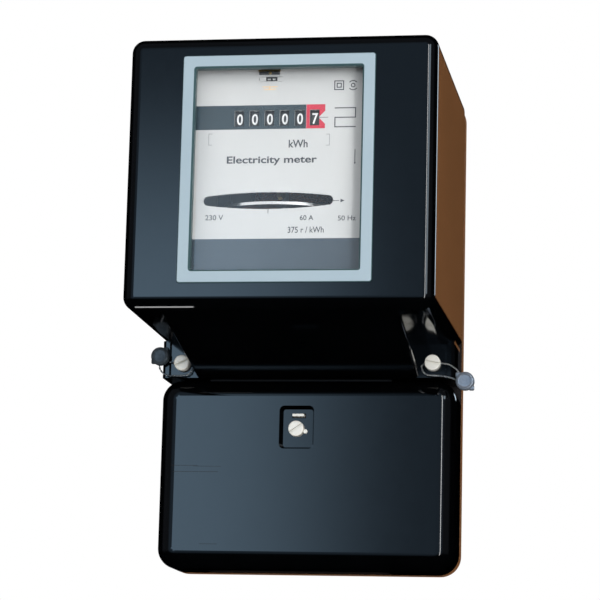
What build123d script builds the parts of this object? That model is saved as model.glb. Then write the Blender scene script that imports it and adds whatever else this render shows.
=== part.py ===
from build123d import *
import os
from math import atan2, cos, hypot, pi, radians, sin, sqrt, tan

os.makedirs("parts", exist_ok=True)

# Frame: X to the right, Y into the wall, Z up. The wall plane is Y = 0, heights stand off it.

# Case
case_width = 130.0
case_top = 107.0
case_bottom = -106.5
case_depth = 118.0
case_middle = (case_top + case_bottom) / 2
draft = 0.5
running_gap = 0.3
slide_gap = 0.2
shaft_gap = 0.05

# Base plate, a moulded tray with ribs on its back
base_thick = 9.0
base_corner = 9.0
base_rib = 5.0
pocket_depth = 5.0
base_bore_depth = 7.0
fixing_hole_inset = 12.5
fixing_hole_rise = 14.5
fixing_hole_radius = 2.75
hanging_drop = 12.0
hanging_radius = 3.0
lug_half = 10.0
lug_below_hole = 19.0
lug_above_hole = 9.0
lug_thick = 1.5
rivet_rise = 5.0
rivet_length = 6.0

# Meter cover
cover_wall = 2.8
cover_corner = 6.5
cover_edge = 5.2
seam_z = -9.0
gasket_thick = 1.0
front_extra = 0.4
neck_edge = 2.0
terminal_depth = 25.0
ear_width = 15.2
ear_drop = 14.4
ear_inset = 0.8
ear_groove = 1.0
ear_strip = 3.0
ear_groove_depth = 3.0
ear_bevel = 1.4
cover_screw_inset = 10.0
cover_screw_drop = 8.2

# Window, measured on the frame's face
window_x = -1.2
window_drop = 56.9
window_width = 69.3
window_height = 84.6
frame_flange = 5.4
frame_proud = 0.8
frame_seat = 0.8
sleeve_wall = 1.5
pane_thick = 2.0
pane_lap = 3.2
seal_thick = 0.8
pane_room = 4.0

# Measuring movement
mech_x = -6.0
disc_below_window = 11.6
disc_radius = 38.0
disc_thick = 1.2
disc_behind_dial = 3.0
spindle_radius = 1.5
pivot_radius = 0.7
pin_radius = 0.5
spindle_rise = 10.0
spindle_over_worm = 11.0
frame_rise = 13.4
frame_thick = 3.0
frame_margin = 2.0
frame_headroom = 4.2
frame_screw_low = 5.0
frame_screw_high = 7.0
post_screw_gap = 10.0
side_bar = 10.0
low_bar = 12.0
high_bar = 14.0
arm_half = 6.0
arm_tip = 5.0
low_arm_thick = 6.0
high_arm_gap = 2.0
high_arm_thick = 4.0
leaf_gap = 0.8
leaf_thick = 4.0
bridge_thick = 6.0
post_radius = 2.5
core_depth = 18.0
air_gap = 1.1
magnet_reach = 8.0
limb_half = 7.0
window_out = 19.0
coil_gap = 1.6
core_drop = 8.0
voltage_yoke = 12.0
pole_height = 8.0
pole_slot = 3.0
bobbin_play = 0.1
bobbin_wall = 1.0
bobbin_flange = 1.4
bobbin_corner = 2.0
coil_inset = 1.0
coil_corner = 4.0
bracket_half = 8.0

# Dial
dial_thick = 1.0
dial_side_margin = 6.55
dial_low_margin = 4.8
dial_slot_half = 27.0
dial_slot_end = 4.1
dial_slot_mid = 7.1
digit_window_width = 4.0
digit_window_height = 6.7

# Register
drum_count = 6
drum_pitch = 6.3
drum_last_x = 12.5
drum_above_window = 23.25
drum_radius = 9.5
drum_rim = 4.0
drum_play = 0.6
shaft_radius = 1.0
pinion_axle_radius = 0.8
ring_teeth = 20
pinion_teeth = 8
transfer_clear = 0.2
ring_thick = 1.0
worm_module = 0.4
worm_wheel_teeth = 50
worm_pitch_radius = 2.5
first_module = 0.5
first_pinion_teeth = 16
first_wheel_teeth = 40
second_module = 0.4
second_pinion_teeth = 15
second_wheel_teeth = 45
shaft_slack = 0.71
register_plate = 1.5
register_left_room = 6.5
register_right_room = 13.0
register_low_room = 6.0
register_high_room = 5.15
register_arm_gap = 1.0
register_bridge = 10.0

# Terminals
terminal_x = -4.0
terminal_pitch = 22.0
lid_top = -23.7
block_side = 13.0
block_rise = 28.5
block_thick = 17.0
tongue_step = 6.0
tongue_drop = 5.0
brass_width = 11.0
brass_length = 30.0
brass_foot = 4.0
brass_back_gap = 1.0
brass_thick = 11.0
cable_rise = 6.5
cable_radius = 4.25
wire_bore_radius = 3.25
low_screw_row = 8.0
high_screw_row = 22.0
block_screw_inset = 4.0
block_screw_rise = 18.0
strap_thick = 2.5
strap_width = 5.0
strap_gap = 0.5
barrier_height = 3.5
barrier_thick = 1.5
terminal_screw_radius = 2.5
terminal_screw_lift = 1.4
terminal_head_height = 2.6
terminal_screw_bite = 1.0
terminal_head_gap = 0.4
well_radius = 3.8
well_gap = 0.1

# Terminal cover
lid_wall = 2.6
lid_corner = 9.0
lid_edge = 7.5
recess_width = 15.2
recess_height = 18.8
recess_depth = 4.5
recess_draft = 14.0
recess_shift = 0.4
captive_x = -4.4
captive_drop = 21.7
entry_margin = 7.0
entry_depth = 13.0

# Screws with a slot and a cross hole for a sealing wire
seal_head_radius = 3.4
seal_head_height = 3.8
seal_shank_radius = 2.0
slot_width = 1.1
slot_depth = 1.4
cross_hole_radius = 0.65
small_head_radius = 2.75
small_head_height = 2.0
small_shank_radius = 1.5

# Sealing wires and lead seals
wire_radius = 0.5
lead_radius = 4.0
lead_thick = 3.6


def front(height):
    """Plane parallel to the wall, seen from the front, at a height off the wall."""
    return Plane.XZ.offset(height)


def side(x):
    """Plane seen from the right, whose own axes are height off the wall and Z."""
    return Plane(origin=(x, 0, 0), x_dir=(0, -1, 0), z_dir=(-1, 0, 0))


def gear_points(teeth, module, centre, phase):
    """Outline of a spur gear with a tooth at the given phase, in radians."""
    pitch = 2 * pi / teeth
    root = teeth * module / 2 - 1.1 * module
    tip = teeth * module / 2 + 0.8 * module
    points = []
    for k in range(teeth):
        middle = phase + k * pitch
        for radius, share in ((root, -0.30), (tip, -0.11), (tip, 0.11), (root, 0.30)):
            angle = middle + share * pitch
            points.append((centre[0] + radius * cos(angle), centre[1] + radius * sin(angle)))
    return points


def save(piece, label):
    """Name a finished piece and write it to its own file."""
    piece.part.label = label
    export_step(piece.part, f"parts/{label}.step")


# Heights off the wall
cover_foot = base_thick + gasket_thick
cover_run = case_depth - cover_foot
cover_lean = cover_run * tan(radians(draft))
cover_inner_face = case_depth - cover_wall - front_extra
pane_front = cover_inner_face - seal_thick
dial_height = pane_front - pane_thick - pane_room
dial_back = dial_height - dial_thick
drum_height = dial_back - drum_play - drum_radius
spindle_height = dial_back - disc_behind_dial - disc_radius
frame_height = base_thick + frame_rise
frame_front = frame_height + frame_thick
coil_build = window_out - limb_half - coil_gap
leaf_height = frame_front + core_depth + coil_build + leaf_gap
magnet_back = spindle_height - magnet_reach
terminal_face = base_thick + terminal_depth
block_height = base_thick + block_thick
brass_back = base_thick + brass_back_gap
brass_front = brass_back + brass_thick
cable_height = base_thick + cable_rise

# Window frame sizes
flange_width = window_width + 2 * frame_flange
flange_height = window_height + 2 * frame_flange
sleeve_width = window_width + 2 * sleeve_wall
sleeve_height = window_height + 2 * sleeve_wall
pane_width = sleeve_width + 2 * pane_lap
pane_height = sleeve_height + 2 * pane_lap

# Places across the case
neck_half = case_width / 2 - ear_width - ear_inset
cover_screw_x = case_width / 2 - cover_screw_inset
dial_half = window_width / 2 + window_x - mech_x + dial_side_margin
frame_half = dial_half + frame_margin
frame_right = mech_x + frame_half
frame_screw_x = frame_half - side_bar / 2
block_half = 1.5 * terminal_pitch + block_side
tongue_half = block_half - tongue_step
entry_half = 1.5 * terminal_pitch + entry_margin

# Places up the case
window_z = case_top - window_drop
disc_z = window_z - disc_below_window
drum_z = window_z + drum_above_window
dial_low = window_z - window_height / 2 - dial_low_margin
frame_low = dial_low - frame_margin / 2
frame_high = case_top - cover_wall - frame_headroom
dial_high = frame_high - frame_margin / 2
spindle_bottom = frame_low + spindle_rise
cover_screw_z = seam_z - cover_screw_drop
block_bottom = case_bottom + block_rise
block_top = lid_top - lid_wall - running_gap
strap_back = frame_height - strap_thick - strap_gap
tongue_top = seam_z - tongue_drop
brass_low = block_bottom + brass_foot
brass_high = brass_low + brass_length
screw_rows = (brass_low + high_screw_row, brass_low + low_screw_row)
captive_z = lid_top - captive_drop

# Shaft places, as height and Z
drum_shaft = (drum_height, drum_z)
worm_wheel_radius = worm_wheel_teeth * worm_module / 2
first_distance = (first_pinion_teeth + first_wheel_teeth) * first_module / 2
second_distance = (second_pinion_teeth + second_wheel_teeth) * second_module / 2
shafts_apart = first_distance + second_distance - shaft_slack
feed_height = spindle_height + worm_pitch_radius + worm_wheel_radius
worm_z = drum_z - sqrt(shafts_apart ** 2 - (drum_height - feed_height) ** 2)
feed_shaft_at = (feed_height, worm_z)
spindle_top = worm_z + spindle_over_worm
high_arm_z = spindle_top + high_arm_gap
along = (first_distance ** 2 - second_distance ** 2 + shafts_apart ** 2) / (2 * shafts_apart)
across = sqrt(first_distance ** 2 - along ** 2)
line_h = (drum_shaft[0] - feed_shaft_at[0]) / shafts_apart
line_z = (drum_shaft[1] - feed_shaft_at[1]) / shafts_apart
middle_shaft_at = (
    feed_shaft_at[0] + along * line_h + across * line_z,
    feed_shaft_at[1] + along * line_z - across * line_h,
)
transfer_distance = drum_radius + pinion_axle_radius + transfer_clear
transfer_module = 2 * transfer_distance / (ring_teeth + pinion_teeth)
transfer_angle = radians(135)
pinion_shaft_at = (
    drum_shaft[0] + transfer_distance * cos(transfer_angle),
    drum_shaft[1] + transfer_distance * sin(transfer_angle),
)
first_angle = atan2(middle_shaft_at[1] - feed_shaft_at[1], middle_shaft_at[0] - feed_shaft_at[0])
second_angle = atan2(drum_shaft[1] - middle_shaft_at[1], drum_shaft[0] - middle_shaft_at[0])
drum_x = [drum_last_x - drum_pitch * (drum_count - 1 - k) for k in range(drum_count)]
register_left = drum_x[0] - register_left_room
register_right = drum_last_x + register_right_room
register_low = worm_z - register_low_room
register_high = drum_z + drum_radius + register_high_room
register_back = spindle_height + arm_tip + register_arm_gap
terminal_at = [terminal_x + terminal_pitch * (k - 1.5) for k in range(4)]

# Fixing places, as X and Z
frame_screw_rows = (frame_low + frame_screw_low, frame_high - frame_screw_high)
post_rows = (frame_screw_rows[0] + post_screw_gap, frame_screw_rows[1] - post_screw_gap)
frame_screw_at = [(mech_x + sx * frame_screw_x, z) for sx in (-1, 1) for z in frame_screw_rows]
post_at = [(mech_x + sx * frame_screw_x, z) for sx in (-1, 1) for z in post_rows]
cover_screw_at = [(-cover_screw_x, cover_screw_z), (cover_screw_x, cover_screw_z)]
block_screw_x = block_half - block_screw_inset
block_screw_z = block_bottom + block_screw_rise
block_screw_at = [(terminal_x - block_screw_x, block_screw_z), (terminal_x + block_screw_x, block_screw_z)]
fixing_hole_x = case_width / 2 - fixing_hole_inset
fixing_hole_z = case_bottom + fixing_hole_rise
fixing_hole_at = [(-fixing_hole_x, fixing_hole_z), (fixing_hole_x, fixing_hole_z)]
hanging_z = case_top - hanging_drop
lug_low = hanging_z - lug_below_hole
lug_high = hanging_z + lug_above_hole


# Base plate

pocket_w = (case_width - 3 * base_rib) / 2
pocket_h = (case_top - case_bottom - 5 * base_rib) / 4

with BuildPart() as base_plate:
    with BuildSketch(front(0)):
        with Locations((0, case_middle)):
            RectangleRounded(case_width, case_top - case_bottom, base_corner)
    extrude(amount=base_thick)
    with BuildSketch(front(0)):
        with Locations((0, case_middle)):
            with GridLocations(pocket_w + base_rib, pocket_h + base_rib, 2, 4):
                RectangleRounded(pocket_w, pocket_h, 3)
        with Locations((0, (lug_low + lug_high) / 2)):
            Rectangle(4 * lug_half, lug_high - lug_low + 12, mode=Mode.SUBTRACT)
        with Locations(*cover_screw_at, *frame_screw_at, *block_screw_at):
            Circle(5.5, mode=Mode.SUBTRACT)
        with Locations(*fixing_hole_at):
            Circle(6.5, mode=Mode.SUBTRACT)
    extrude(amount=pocket_depth, mode=Mode.SUBTRACT)
    # Bosses for the movement's frame
    with BuildSketch(front(base_thick)):
        with Locations(*frame_screw_at):
            Circle(4.5)
    extrude(amount=frame_height - base_thick)
    with BuildSketch(front(2)):
        with Locations(*frame_screw_at):
            Circle(small_shank_radius)
    extrude(amount=frame_height - 2, mode=Mode.SUBTRACT)
    # Holes for the cover's screws and the terminal block's
    with BuildSketch(front(base_thick - base_bore_depth)):
        with Locations(*cover_screw_at, *block_screw_at):
            Circle(seal_shank_radius)
    extrude(amount=base_bore_depth, mode=Mode.SUBTRACT)
    # Lower fixing holes
    with BuildSketch(front(0)):
        with Locations(*fixing_hole_at):
            Circle(fixing_hole_radius)
    extrude(amount=base_thick, mode=Mode.SUBTRACT)
    # Seat of the hanging lug, and the room behind its hole for the hook's head
    with BuildSketch(front(0)):
        with Locations((0, (lug_low + lug_high) / 2)):
            Rectangle(2 * lug_half + 0.4, lug_high - lug_low + 0.4)
    extrude(amount=lug_thick, mode=Mode.SUBTRACT)
    with BuildSketch(front(0)):
        with Locations((0, hanging_z)):
            RectangleRounded(2 * lug_half - 4, 14, 2)
    extrude(amount=base_thick - 2, mode=Mode.SUBTRACT)
    with BuildSketch(front(0)):
        with Locations((0, lug_low + rivet_rise)):
            Circle(small_shank_radius)
    extrude(amount=rivet_length, mode=Mode.SUBTRACT)
save(base_plate, "base_plate")

with BuildPart() as hanging_lug:
    with BuildSketch(front(0)):
        with Locations((0, (lug_low + lug_high) / 2)):
            RectangleRounded(2 * lug_half, lug_high - lug_low, 2)
        with Locations((0, hanging_z)):
            Circle(hanging_radius, mode=Mode.SUBTRACT)
    extrude(amount=lug_thick)
    # The rivet that holds it, headed flush
    with BuildSketch(front(0)):
        with Locations((0, lug_low + rivet_rise)):
            Circle(small_shank_radius)
    extrude(amount=rivet_length)
save(hanging_lug, "hanging_lug")

cover_height = case_top - seam_z
cover_centre = (case_top + seam_z) / 2

with BuildPart() as cover_gasket:
    with BuildSketch(front(base_thick)):
        with Locations((0, cover_centre)):
            RectangleRounded(case_width - 0.6, cover_height - 0.6, cover_corner)
            RectangleRounded(
                case_width - 2 * cover_wall,
                cover_height - 2 * cover_wall,
                cover_corner - cover_wall,
                mode=Mode.SUBTRACT,
            )
        with Locations((0, seam_z)):
            Rectangle(2 * (neck_half - cover_wall), 4 * cover_wall, mode=Mode.SUBTRACT)
    extrude(amount=gasket_thick)
save(cover_gasket, "cover_gasket")


# Meter cover

neck_low = lid_top + running_gap
neck_inner = neck_half - cover_wall
front_seam = seam_z + cover_lean
ear_end = neck_half + ear_width
neck_front = case_depth - cover_edge

with BuildPart() as chamber:
    with BuildSketch(front(cover_foot)):
        with Locations((0, cover_centre)):
            RectangleRounded(
                case_width - 2 * cover_wall,
                cover_height - 2 * cover_wall,
                cover_corner - cover_wall,
            )
    extrude(amount=cover_inner_face - cover_foot, taper=draft)
    fillet(chamber.faces().sort_by(Axis.Y)[0].outer_wire().edges(), cover_edge - cover_wall)

with BuildPart() as meter_cover:
    with BuildSketch(front(cover_foot)):
        with Locations((0, cover_centre)):
            RectangleRounded(case_width, cover_height, cover_corner)
    extrude(amount=cover_run, taper=draft)
    fillet(meter_cover.faces().sort_by(Axis.Y)[0].outer_wire().edges(), cover_edge)
    # Neck that slopes down and back to the terminals
    with BuildSketch(side(0)):
        with BuildLine():
            Polyline(
                (cover_foot, seam_z + 4),
                (neck_front, front_seam + 4),
                (neck_front, front_seam),
                (terminal_face, neck_low),
                (cover_foot, neck_low),
                close=True,
            )
        make_face()
    extrude(amount=neck_half, both=True)
    fillet(
        meter_cover.edges()
        .filter_by(lambda e: abs(abs(e.center().X) - neck_half) < 0.01)
        .filter_by(lambda e: e.bounding_box().min.Z < neck_low + 1)
        .filter_by(lambda e: e.bounding_box().max.Y - e.bounding_box().min.Y > 30),
        neck_edge,
    )
    # Ears for the sealing screws: a pad, a groove and a bevelled outer strip
    with BuildSketch(Plane.XY.offset(seam_z - ear_drop)):
        with BuildLine():
            Polyline(
                (neck_half - 1, -cover_foot),
                (neck_half - 1, -terminal_face),
                (ear_end - ear_strip - ear_groove, -terminal_face),
                (ear_end - ear_strip - ear_groove, ear_groove_depth - terminal_face),
                (ear_end - ear_strip, ear_groove_depth - terminal_face),
                (ear_end - ear_strip, -terminal_face),
                (ear_end - ear_bevel, -terminal_face),
                (ear_end, ear_bevel - terminal_face),
                (ear_end, -cover_foot),
                close=True,
            )
        make_face()
        mirror(about=Plane.YZ)
    extrude(amount=ear_drop + 2)
    add(chamber.part, mode=Mode.SUBTRACT)
    with BuildSketch(side(0)):
        with BuildLine():
            Polyline(
                (cover_foot, seam_z + cover_wall + 1),
                (neck_front - 12, seam_z + cover_wall + 1),
                (neck_front - 12, front_seam + 0.4),
                (terminal_face - 1, neck_low + cover_wall),
                (cover_foot, neck_low + cover_wall),
                close=True,
            )
        make_face()
    extrude(amount=neck_inner, both=True, mode=Mode.SUBTRACT)
    # Way through the neck's floor for the terminal block's tongue
    with BuildSketch(front(cover_foot)):
        with Locations((terminal_x, neck_low)):
            Rectangle(2 * (tongue_half + running_gap), 4 * cover_wall)
    extrude(amount=block_height + running_gap - cover_foot, mode=Mode.SUBTRACT)
    # Holes of the sealing screws
    with BuildSketch(front(cover_foot)):
        with Locations(*cover_screw_at):
            Circle(seal_shank_radius + shaft_gap * 2)
    extrude(amount=case_depth / 2, mode=Mode.SUBTRACT)
    # Window opening and the seat of its frame
    with BuildSketch(front(case_depth)):
        with Locations((window_x, window_z)):
            RectangleRounded(flange_width + 0.2, flange_height + 0.2, 1.2)
    extrude(amount=-frame_seat, mode=Mode.SUBTRACT)
    with BuildSketch(front(case_depth)):
        with Locations((window_x, window_z)):
            RectangleRounded(sleeve_width + 0.2, sleeve_height + 0.2, 1.0)
    extrude(amount=-2 * cover_wall, mode=Mode.SUBTRACT)
save(meter_cover, "meter_cover")

with BuildPart() as window_frame:
    with BuildSketch(front(case_depth - frame_seat)):
        with Locations((window_x, window_z)):
            RectangleRounded(flange_width, flange_height, 1.2)
    extrude(amount=frame_seat + frame_proud)
    fillet(window_frame.faces().sort_by(Axis.Y)[0].outer_wire().edges(), 0.6)
    with BuildSketch(front(cover_inner_face)):
        with Locations((window_x, window_z)):
            RectangleRounded(sleeve_width, sleeve_height, 1.0)
    extrude(amount=case_depth - frame_seat - cover_inner_face)
    with BuildSketch(front(cover_inner_face)):
        with Locations((window_x, window_z)):
            RectangleRounded(window_width, window_height, 0.6)
    extrude(amount=case_depth, mode=Mode.SUBTRACT)
    chamfer(
        window_frame.faces().sort_by(Axis.Y)[0].inner_wires()[0].edges(),
        0.7,
    )
save(window_frame, "window_frame")

with BuildPart() as pane_seal:
    with BuildSketch(front(pane_front)):
        with Locations((window_x, window_z)):
            RectangleRounded(pane_width, pane_height, 2)
            RectangleRounded(window_width + 1, window_height + 1, 1, mode=Mode.SUBTRACT)
    extrude(amount=seal_thick)
save(pane_seal, "pane_seal")

with BuildPart() as window_pane:
    with BuildSketch(front(pane_front - pane_thick)):
        with Locations((window_x, window_z)):
            RectangleRounded(pane_width, pane_height, 2)
    extrude(amount=pane_thick)
save(window_pane, "window_pane")

# Sealing screws: fillister head, slot, and a hole across the head for the wire
slot_turns = {-cover_screw_x: 25.0, cover_screw_x: -12.0}

with BuildPart() as cover_screws:
    with BuildSketch(front(base_thick - base_bore_depth + 1)):
        with Locations(*cover_screw_at):
            Circle(seal_shank_radius)
    extrude(amount=terminal_face - base_thick + base_bore_depth - 1)
    with BuildSketch(front(terminal_face)):
        with Locations(*cover_screw_at):
            Circle(seal_head_radius)
    extrude(amount=seal_head_height)
    fillet(cover_screws.faces().group_by(Axis.Y)[0].edges(), 0.5)
    for screw_x, screw_z in cover_screw_at:
        with BuildSketch(front(terminal_face + seal_head_height)):
            with Locations(Location((screw_x, screw_z), slot_turns[screw_x])):
                Rectangle(3 * seal_head_radius, slot_width)
        extrude(amount=-slot_depth, mode=Mode.SUBTRACT)
    with BuildSketch(Plane.YZ):
        with Locations((-(terminal_face + 1.3), cover_screw_z)):
            Circle(cross_hole_radius)
    extrude(amount=case_width, both=True, mode=Mode.SUBTRACT)
save(cover_screws, "cover_screws")


# Sealing wires and lead seals, held by the screws

wire_height = terminal_face + 1.3
left_lead = (-cover_screw_x - 9.7, cover_screw_z + 2.8)
right_lead = (cover_screw_x + 14.2, cover_screw_z - 8.1)
lead_height = terminal_face + 0.7 + lead_thick / 2


def wire_path(points):
    """Straight runs joined by arcs as large as the runs allow, and the arcs' radii."""
    radii = []
    for before, corner, after in zip(points, points[1:], points[2:]):
        into = Vector(*corner) - Vector(*before)
        out = Vector(*after) - Vector(*corner)
        half_turn = radians(into.get_angle(out)) / 2
        radii.append(round(0.45 * min(into.length, out.length) / tan(half_turn), 3))
    return radii


# Routes from screw to seal and back, as offsets from the screw in X, height and Z
left_route = [
    (-9.6, 0.3, 3.6),
    (-7.7, 0.1, 2.2),
    (-5.4, 0.0, 0.0),
    (4.9, 0.0, 0.0),
    (4.6, 0.4, -3.0),
    (3.2, 0.8, -5.2),
    (0.2, 1.0, -5.6),
    (-3.2, 0.9, -5.7),
    (-6.6, 0.7, -5.6),
    (-9.2, 0.5, -4.0),
    (-10.4, 0.5, -1.4),
    (-10.0, 0.5, 1.6),
]
right_route = [
    (13.4, 0.5, -6.6),
    (11.2, 0.4, -3.6),
    (8.6, 0.2, -1.3),
    (5.4, 0.0, 0.0),
    (-4.9, 0.0, 0.0),
    (-4.6, 0.4, -3.0),
    (-3.0, 0.8, -5.2),
    (0.4, 1.0, -5.6),
    (4.0, 0.9, -5.7),
    (7.6, 0.7, -6.3),
    (10.8, 0.6, -7.5),
    (13.2, 0.5, -8.8),
]

wire_tubes = []
for screw_x, route in ((-cover_screw_x, left_route), (cover_screw_x, right_route)):
    wire_points = [(screw_x + x, -wire_height - out, cover_screw_z + z) for x, out, z in route]
    arc_radii = wire_path(wire_points)
    print("wire arc radii", arc_radii)
    with BuildPart() as tube:
        with BuildLine() as centre_line:
            FilletPolyline(*wire_points, radius=arc_radii)
        with BuildSketch(Plane(origin=centre_line.line @ 0, z_dir=centre_line.line % 0)):
            Circle(wire_radius)
        sweep(path=centre_line.line)
    wire_length = centre_line.wires()[0].length
    print("wire length", round(wire_length, 1), "volume ratio",
          round(tube.part.volume / (pi * wire_radius ** 2 * wire_length), 3))
    wire_tubes.append(tube.part)

for wire_side, tube_part in zip(("left", "right"), wire_tubes):
    tube_part.label = f"seal_wire_{wire_side}"
    export_step(tube_part, f"parts/seal_wire_{wire_side}.step")

for wire_side, (lead_x, lead_z), tube_part in zip(("left", "right"), (left_lead, right_lead), wire_tubes):
    with BuildPart() as lead_seal:
        with BuildSketch(front(lead_height - lead_thick / 2)):
            with Locations((lead_x, lead_z)):
                Circle(lead_radius)
        extrude(amount=lead_thick)
        fillet(lead_seal.edges().filter_by(GeomType.CIRCLE), 0.9)
        add(tube_part, mode=Mode.SUBTRACT)
    save(lead_seal, f"lead_seal_{wire_side}")


# Terminal block

with BuildPart() as terminal_block:
    with BuildSketch(front(base_thick)):
        with Locations((terminal_x, (block_top + block_bottom) / 2)):
            Rectangle(2 * block_half, block_top - block_bottom)
        with Locations((terminal_x, (block_top + tongue_top) / 2)):
            Rectangle(2 * tongue_half, tongue_top - block_top)
    extrude(amount=block_height - base_thick)
    # Barriers between the terminals
    with BuildSketch(front(block_height)):
        with Locations(
            (terminal_x - terminal_pitch, (block_bottom + screw_rows[0]) / 2 + 3),
            (terminal_x + terminal_pitch, (block_bottom + screw_rows[0]) / 2 + 3),
        ):
            Rectangle(barrier_thick, screw_rows[0] - block_bottom + 6)
    extrude(amount=barrier_height)
    # Pockets for the brass, open at the back
    with BuildSketch(front(base_thick)):
        brass_z = (brass_low + brass_high) / 2
        with Locations((terminal_at[0], brass_z), (terminal_at[1], brass_z)):
            Rectangle(brass_width + 2 * well_gap, brass_high - brass_low + 2 * well_gap)
        with Locations(((terminal_at[2] + terminal_at[3]) / 2, brass_z)):
            Rectangle(
                terminal_pitch + brass_width + 2 * well_gap,
                brass_high - brass_low + 2 * well_gap,
            )
    extrude(amount=brass_front + well_gap - base_thick, mode=Mode.SUBTRACT)
    # Cable entries from below
    with BuildSketch(Plane.XY.offset(block_bottom)):
        with Locations(*[(x, -cable_height) for x in terminal_at]):
            Circle(cable_radius)
    extrude(amount=brass_low - block_bottom, mode=Mode.SUBTRACT)
    # Wells of the terminal screws
    with BuildSketch(front(brass_front)):
        with Locations(*[(x, z) for x in terminal_at for z in screw_rows]):
            Circle(well_radius)
    extrude(amount=block_height - brass_front, mode=Mode.SUBTRACT)
    # Slots of the two current straps, open at the back
    with BuildSketch(front(base_thick)):
        for x in terminal_at[:2]:
            with Locations((x, (brass_high + tongue_top) / 2)):
                Rectangle(strap_width + 1, tongue_top - brass_high)
    extrude(amount=strap_back + strap_thick + 0.4 - base_thick, mode=Mode.SUBTRACT)
    # Thread of the terminal cover's screw, and the fixing screws' holes
    with BuildSketch(front(base_thick + 2)):
        with Locations((captive_x, captive_z)):
            Circle(seal_shank_radius + shaft_gap)
    extrude(amount=block_height, mode=Mode.SUBTRACT)
    with BuildSketch(front(base_thick)):
        with Locations(*block_screw_at):
            Circle(seal_shank_radius)
    extrude(amount=block_height, mode=Mode.SUBTRACT)
save(terminal_block, "terminal_block")

with BuildPart() as line_terminals:
    for x in terminal_at[:2]:
        with BuildSketch(front(brass_back)):
            with Locations((x, brass_z)):
                Rectangle(brass_width, brass_high - brass_low)
        extrude(amount=brass_front - brass_back)
    with BuildSketch(Plane.XY.offset(brass_low)):
        with Locations(*[(x, -cable_height) for x in terminal_at[:2]]):
            Circle(wire_bore_radius)
    extrude(amount=brass_high - brass_low - 3, mode=Mode.SUBTRACT)
    with BuildSketch(front(cable_height)):
        with Locations(*[(x, z) for x in terminal_at[:2] for z in screw_rows]):
            Circle(terminal_screw_radius)
    extrude(amount=brass_front, mode=Mode.SUBTRACT)
save(line_terminals, "line_terminals")

with BuildPart() as neutral_terminal:
    with BuildSketch(front(brass_back)):
        with Locations(((terminal_at[2] + terminal_at[3]) / 2, brass_z)):
            Rectangle(terminal_pitch + brass_width, brass_high - brass_low)
    extrude(amount=brass_front - brass_back)
    with BuildSketch(Plane.XY.offset(brass_low)):
        with Locations(*[(x, -cable_height) for x in terminal_at[2:]]):
            Circle(wire_bore_radius)
    extrude(amount=brass_high - brass_low - 3, mode=Mode.SUBTRACT)
    with BuildSketch(front(cable_height)):
        with Locations(*[(x, z) for x in terminal_at[2:] for z in screw_rows]):
            Circle(terminal_screw_radius)
    extrude(amount=brass_front, mode=Mode.SUBTRACT)
save(neutral_terminal, "neutral_terminal")

terminal_screw_foot = cable_height + wire_bore_radius - terminal_screw_bite
terminal_head_radius = well_radius - terminal_head_gap

with BuildPart() as terminal_screws:
    with BuildSketch(front(terminal_screw_foot)):
        with Locations(*[(x, z) for x in terminal_at for z in screw_rows]):
            Circle(terminal_screw_radius)
    extrude(amount=brass_front + terminal_screw_lift - terminal_screw_foot)
    with BuildSketch(front(brass_front + terminal_screw_lift)):
        with Locations(*[(x, z) for x in terminal_at for z in screw_rows]):
            Circle(terminal_head_radius)
    extrude(amount=terminal_head_height)
    with BuildSketch(front(brass_front + terminal_screw_lift + terminal_head_height)):
        with Locations(*[(x, z) for x in terminal_at for z in screw_rows]):
            Rectangle(3 * terminal_head_radius, slot_width, rotation=70)
    extrude(amount=-slot_depth, mode=Mode.SUBTRACT)
save(terminal_screws, "terminal_screws")

with BuildPart() as block_screws:
    with BuildSketch(front(base_thick - base_bore_depth + 1)):
        with Locations(*block_screw_at):
            Circle(seal_shank_radius)
    extrude(amount=block_height - base_thick + base_bore_depth - 1)
    with BuildSketch(front(block_height)):
        with Locations(*block_screw_at):
            Circle(seal_head_radius)
    extrude(amount=small_head_height)
    with BuildSketch(front(block_height + small_head_height)):
        with Locations(*block_screw_at):
            Rectangle(3 * seal_head_radius, slot_width, rotation=-35)
    extrude(amount=-slot_depth, mode=Mode.SUBTRACT)
save(block_screws, "block_screws")

# Link that feeds the voltage coil, and its two screws
link_z = block_top - 9.4
link_reach = terminal_pitch / 2
link_thick = 1.2

with BuildPart() as voltage_link:
    with BuildSketch(front(block_height)):
        with Locations((terminal_at[0] + link_reach / 2, link_z)):
            SlotCenterToCenter(link_reach, 7)
    extrude(amount=link_thick)
save(voltage_link, "voltage_link")

with BuildPart() as link_screws:
    with BuildSketch(front(block_height + link_thick)):
        with Locations((terminal_at[0], link_z), (terminal_at[0] + link_reach, link_z)):
            Circle(small_head_radius)
    extrude(amount=small_head_height)
    with BuildSketch(front(block_height + link_thick + small_head_height)):
        with Locations((terminal_at[0], link_z), (terminal_at[0] + link_reach, link_z)):
            Rectangle(3 * small_head_radius, 0.8, rotation=20)
    extrude(amount=-1.0, mode=Mode.SUBTRACT)
save(link_screws, "link_screws")

# Brass strip that a sealing wire may be passed through, beside the captive screw
lug_strip_z = captive_z + seal_head_radius + 2.5
lug_strip_width = 5.0

with BuildPart() as sealing_strip:
    with BuildSketch(front(block_height)):
        with Locations((captive_x + 0.8, lug_strip_z)):
            Rectangle(lug_strip_width, 1.0)
    extrude(amount=terminal_face - 1.4 - block_height)
    with BuildSketch(Plane.XY.offset(lug_strip_z)):
        with Locations((captive_x + 0.8, -(terminal_face - 3.0))):
            Circle(0.8)
    extrude(amount=2, both=True, mode=Mode.SUBTRACT)
save(sealing_strip, "sealing_strip")


# Terminal cover

lid_foot = base_thick + slide_gap
lid_run = terminal_face - lid_foot
lid_height = lid_top - case_bottom
lid_centre = (lid_top + case_bottom) / 2
recess_x = captive_x + recess_shift
recess_z = captive_z + recess_shift
recess_floor = terminal_face - recess_depth

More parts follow.
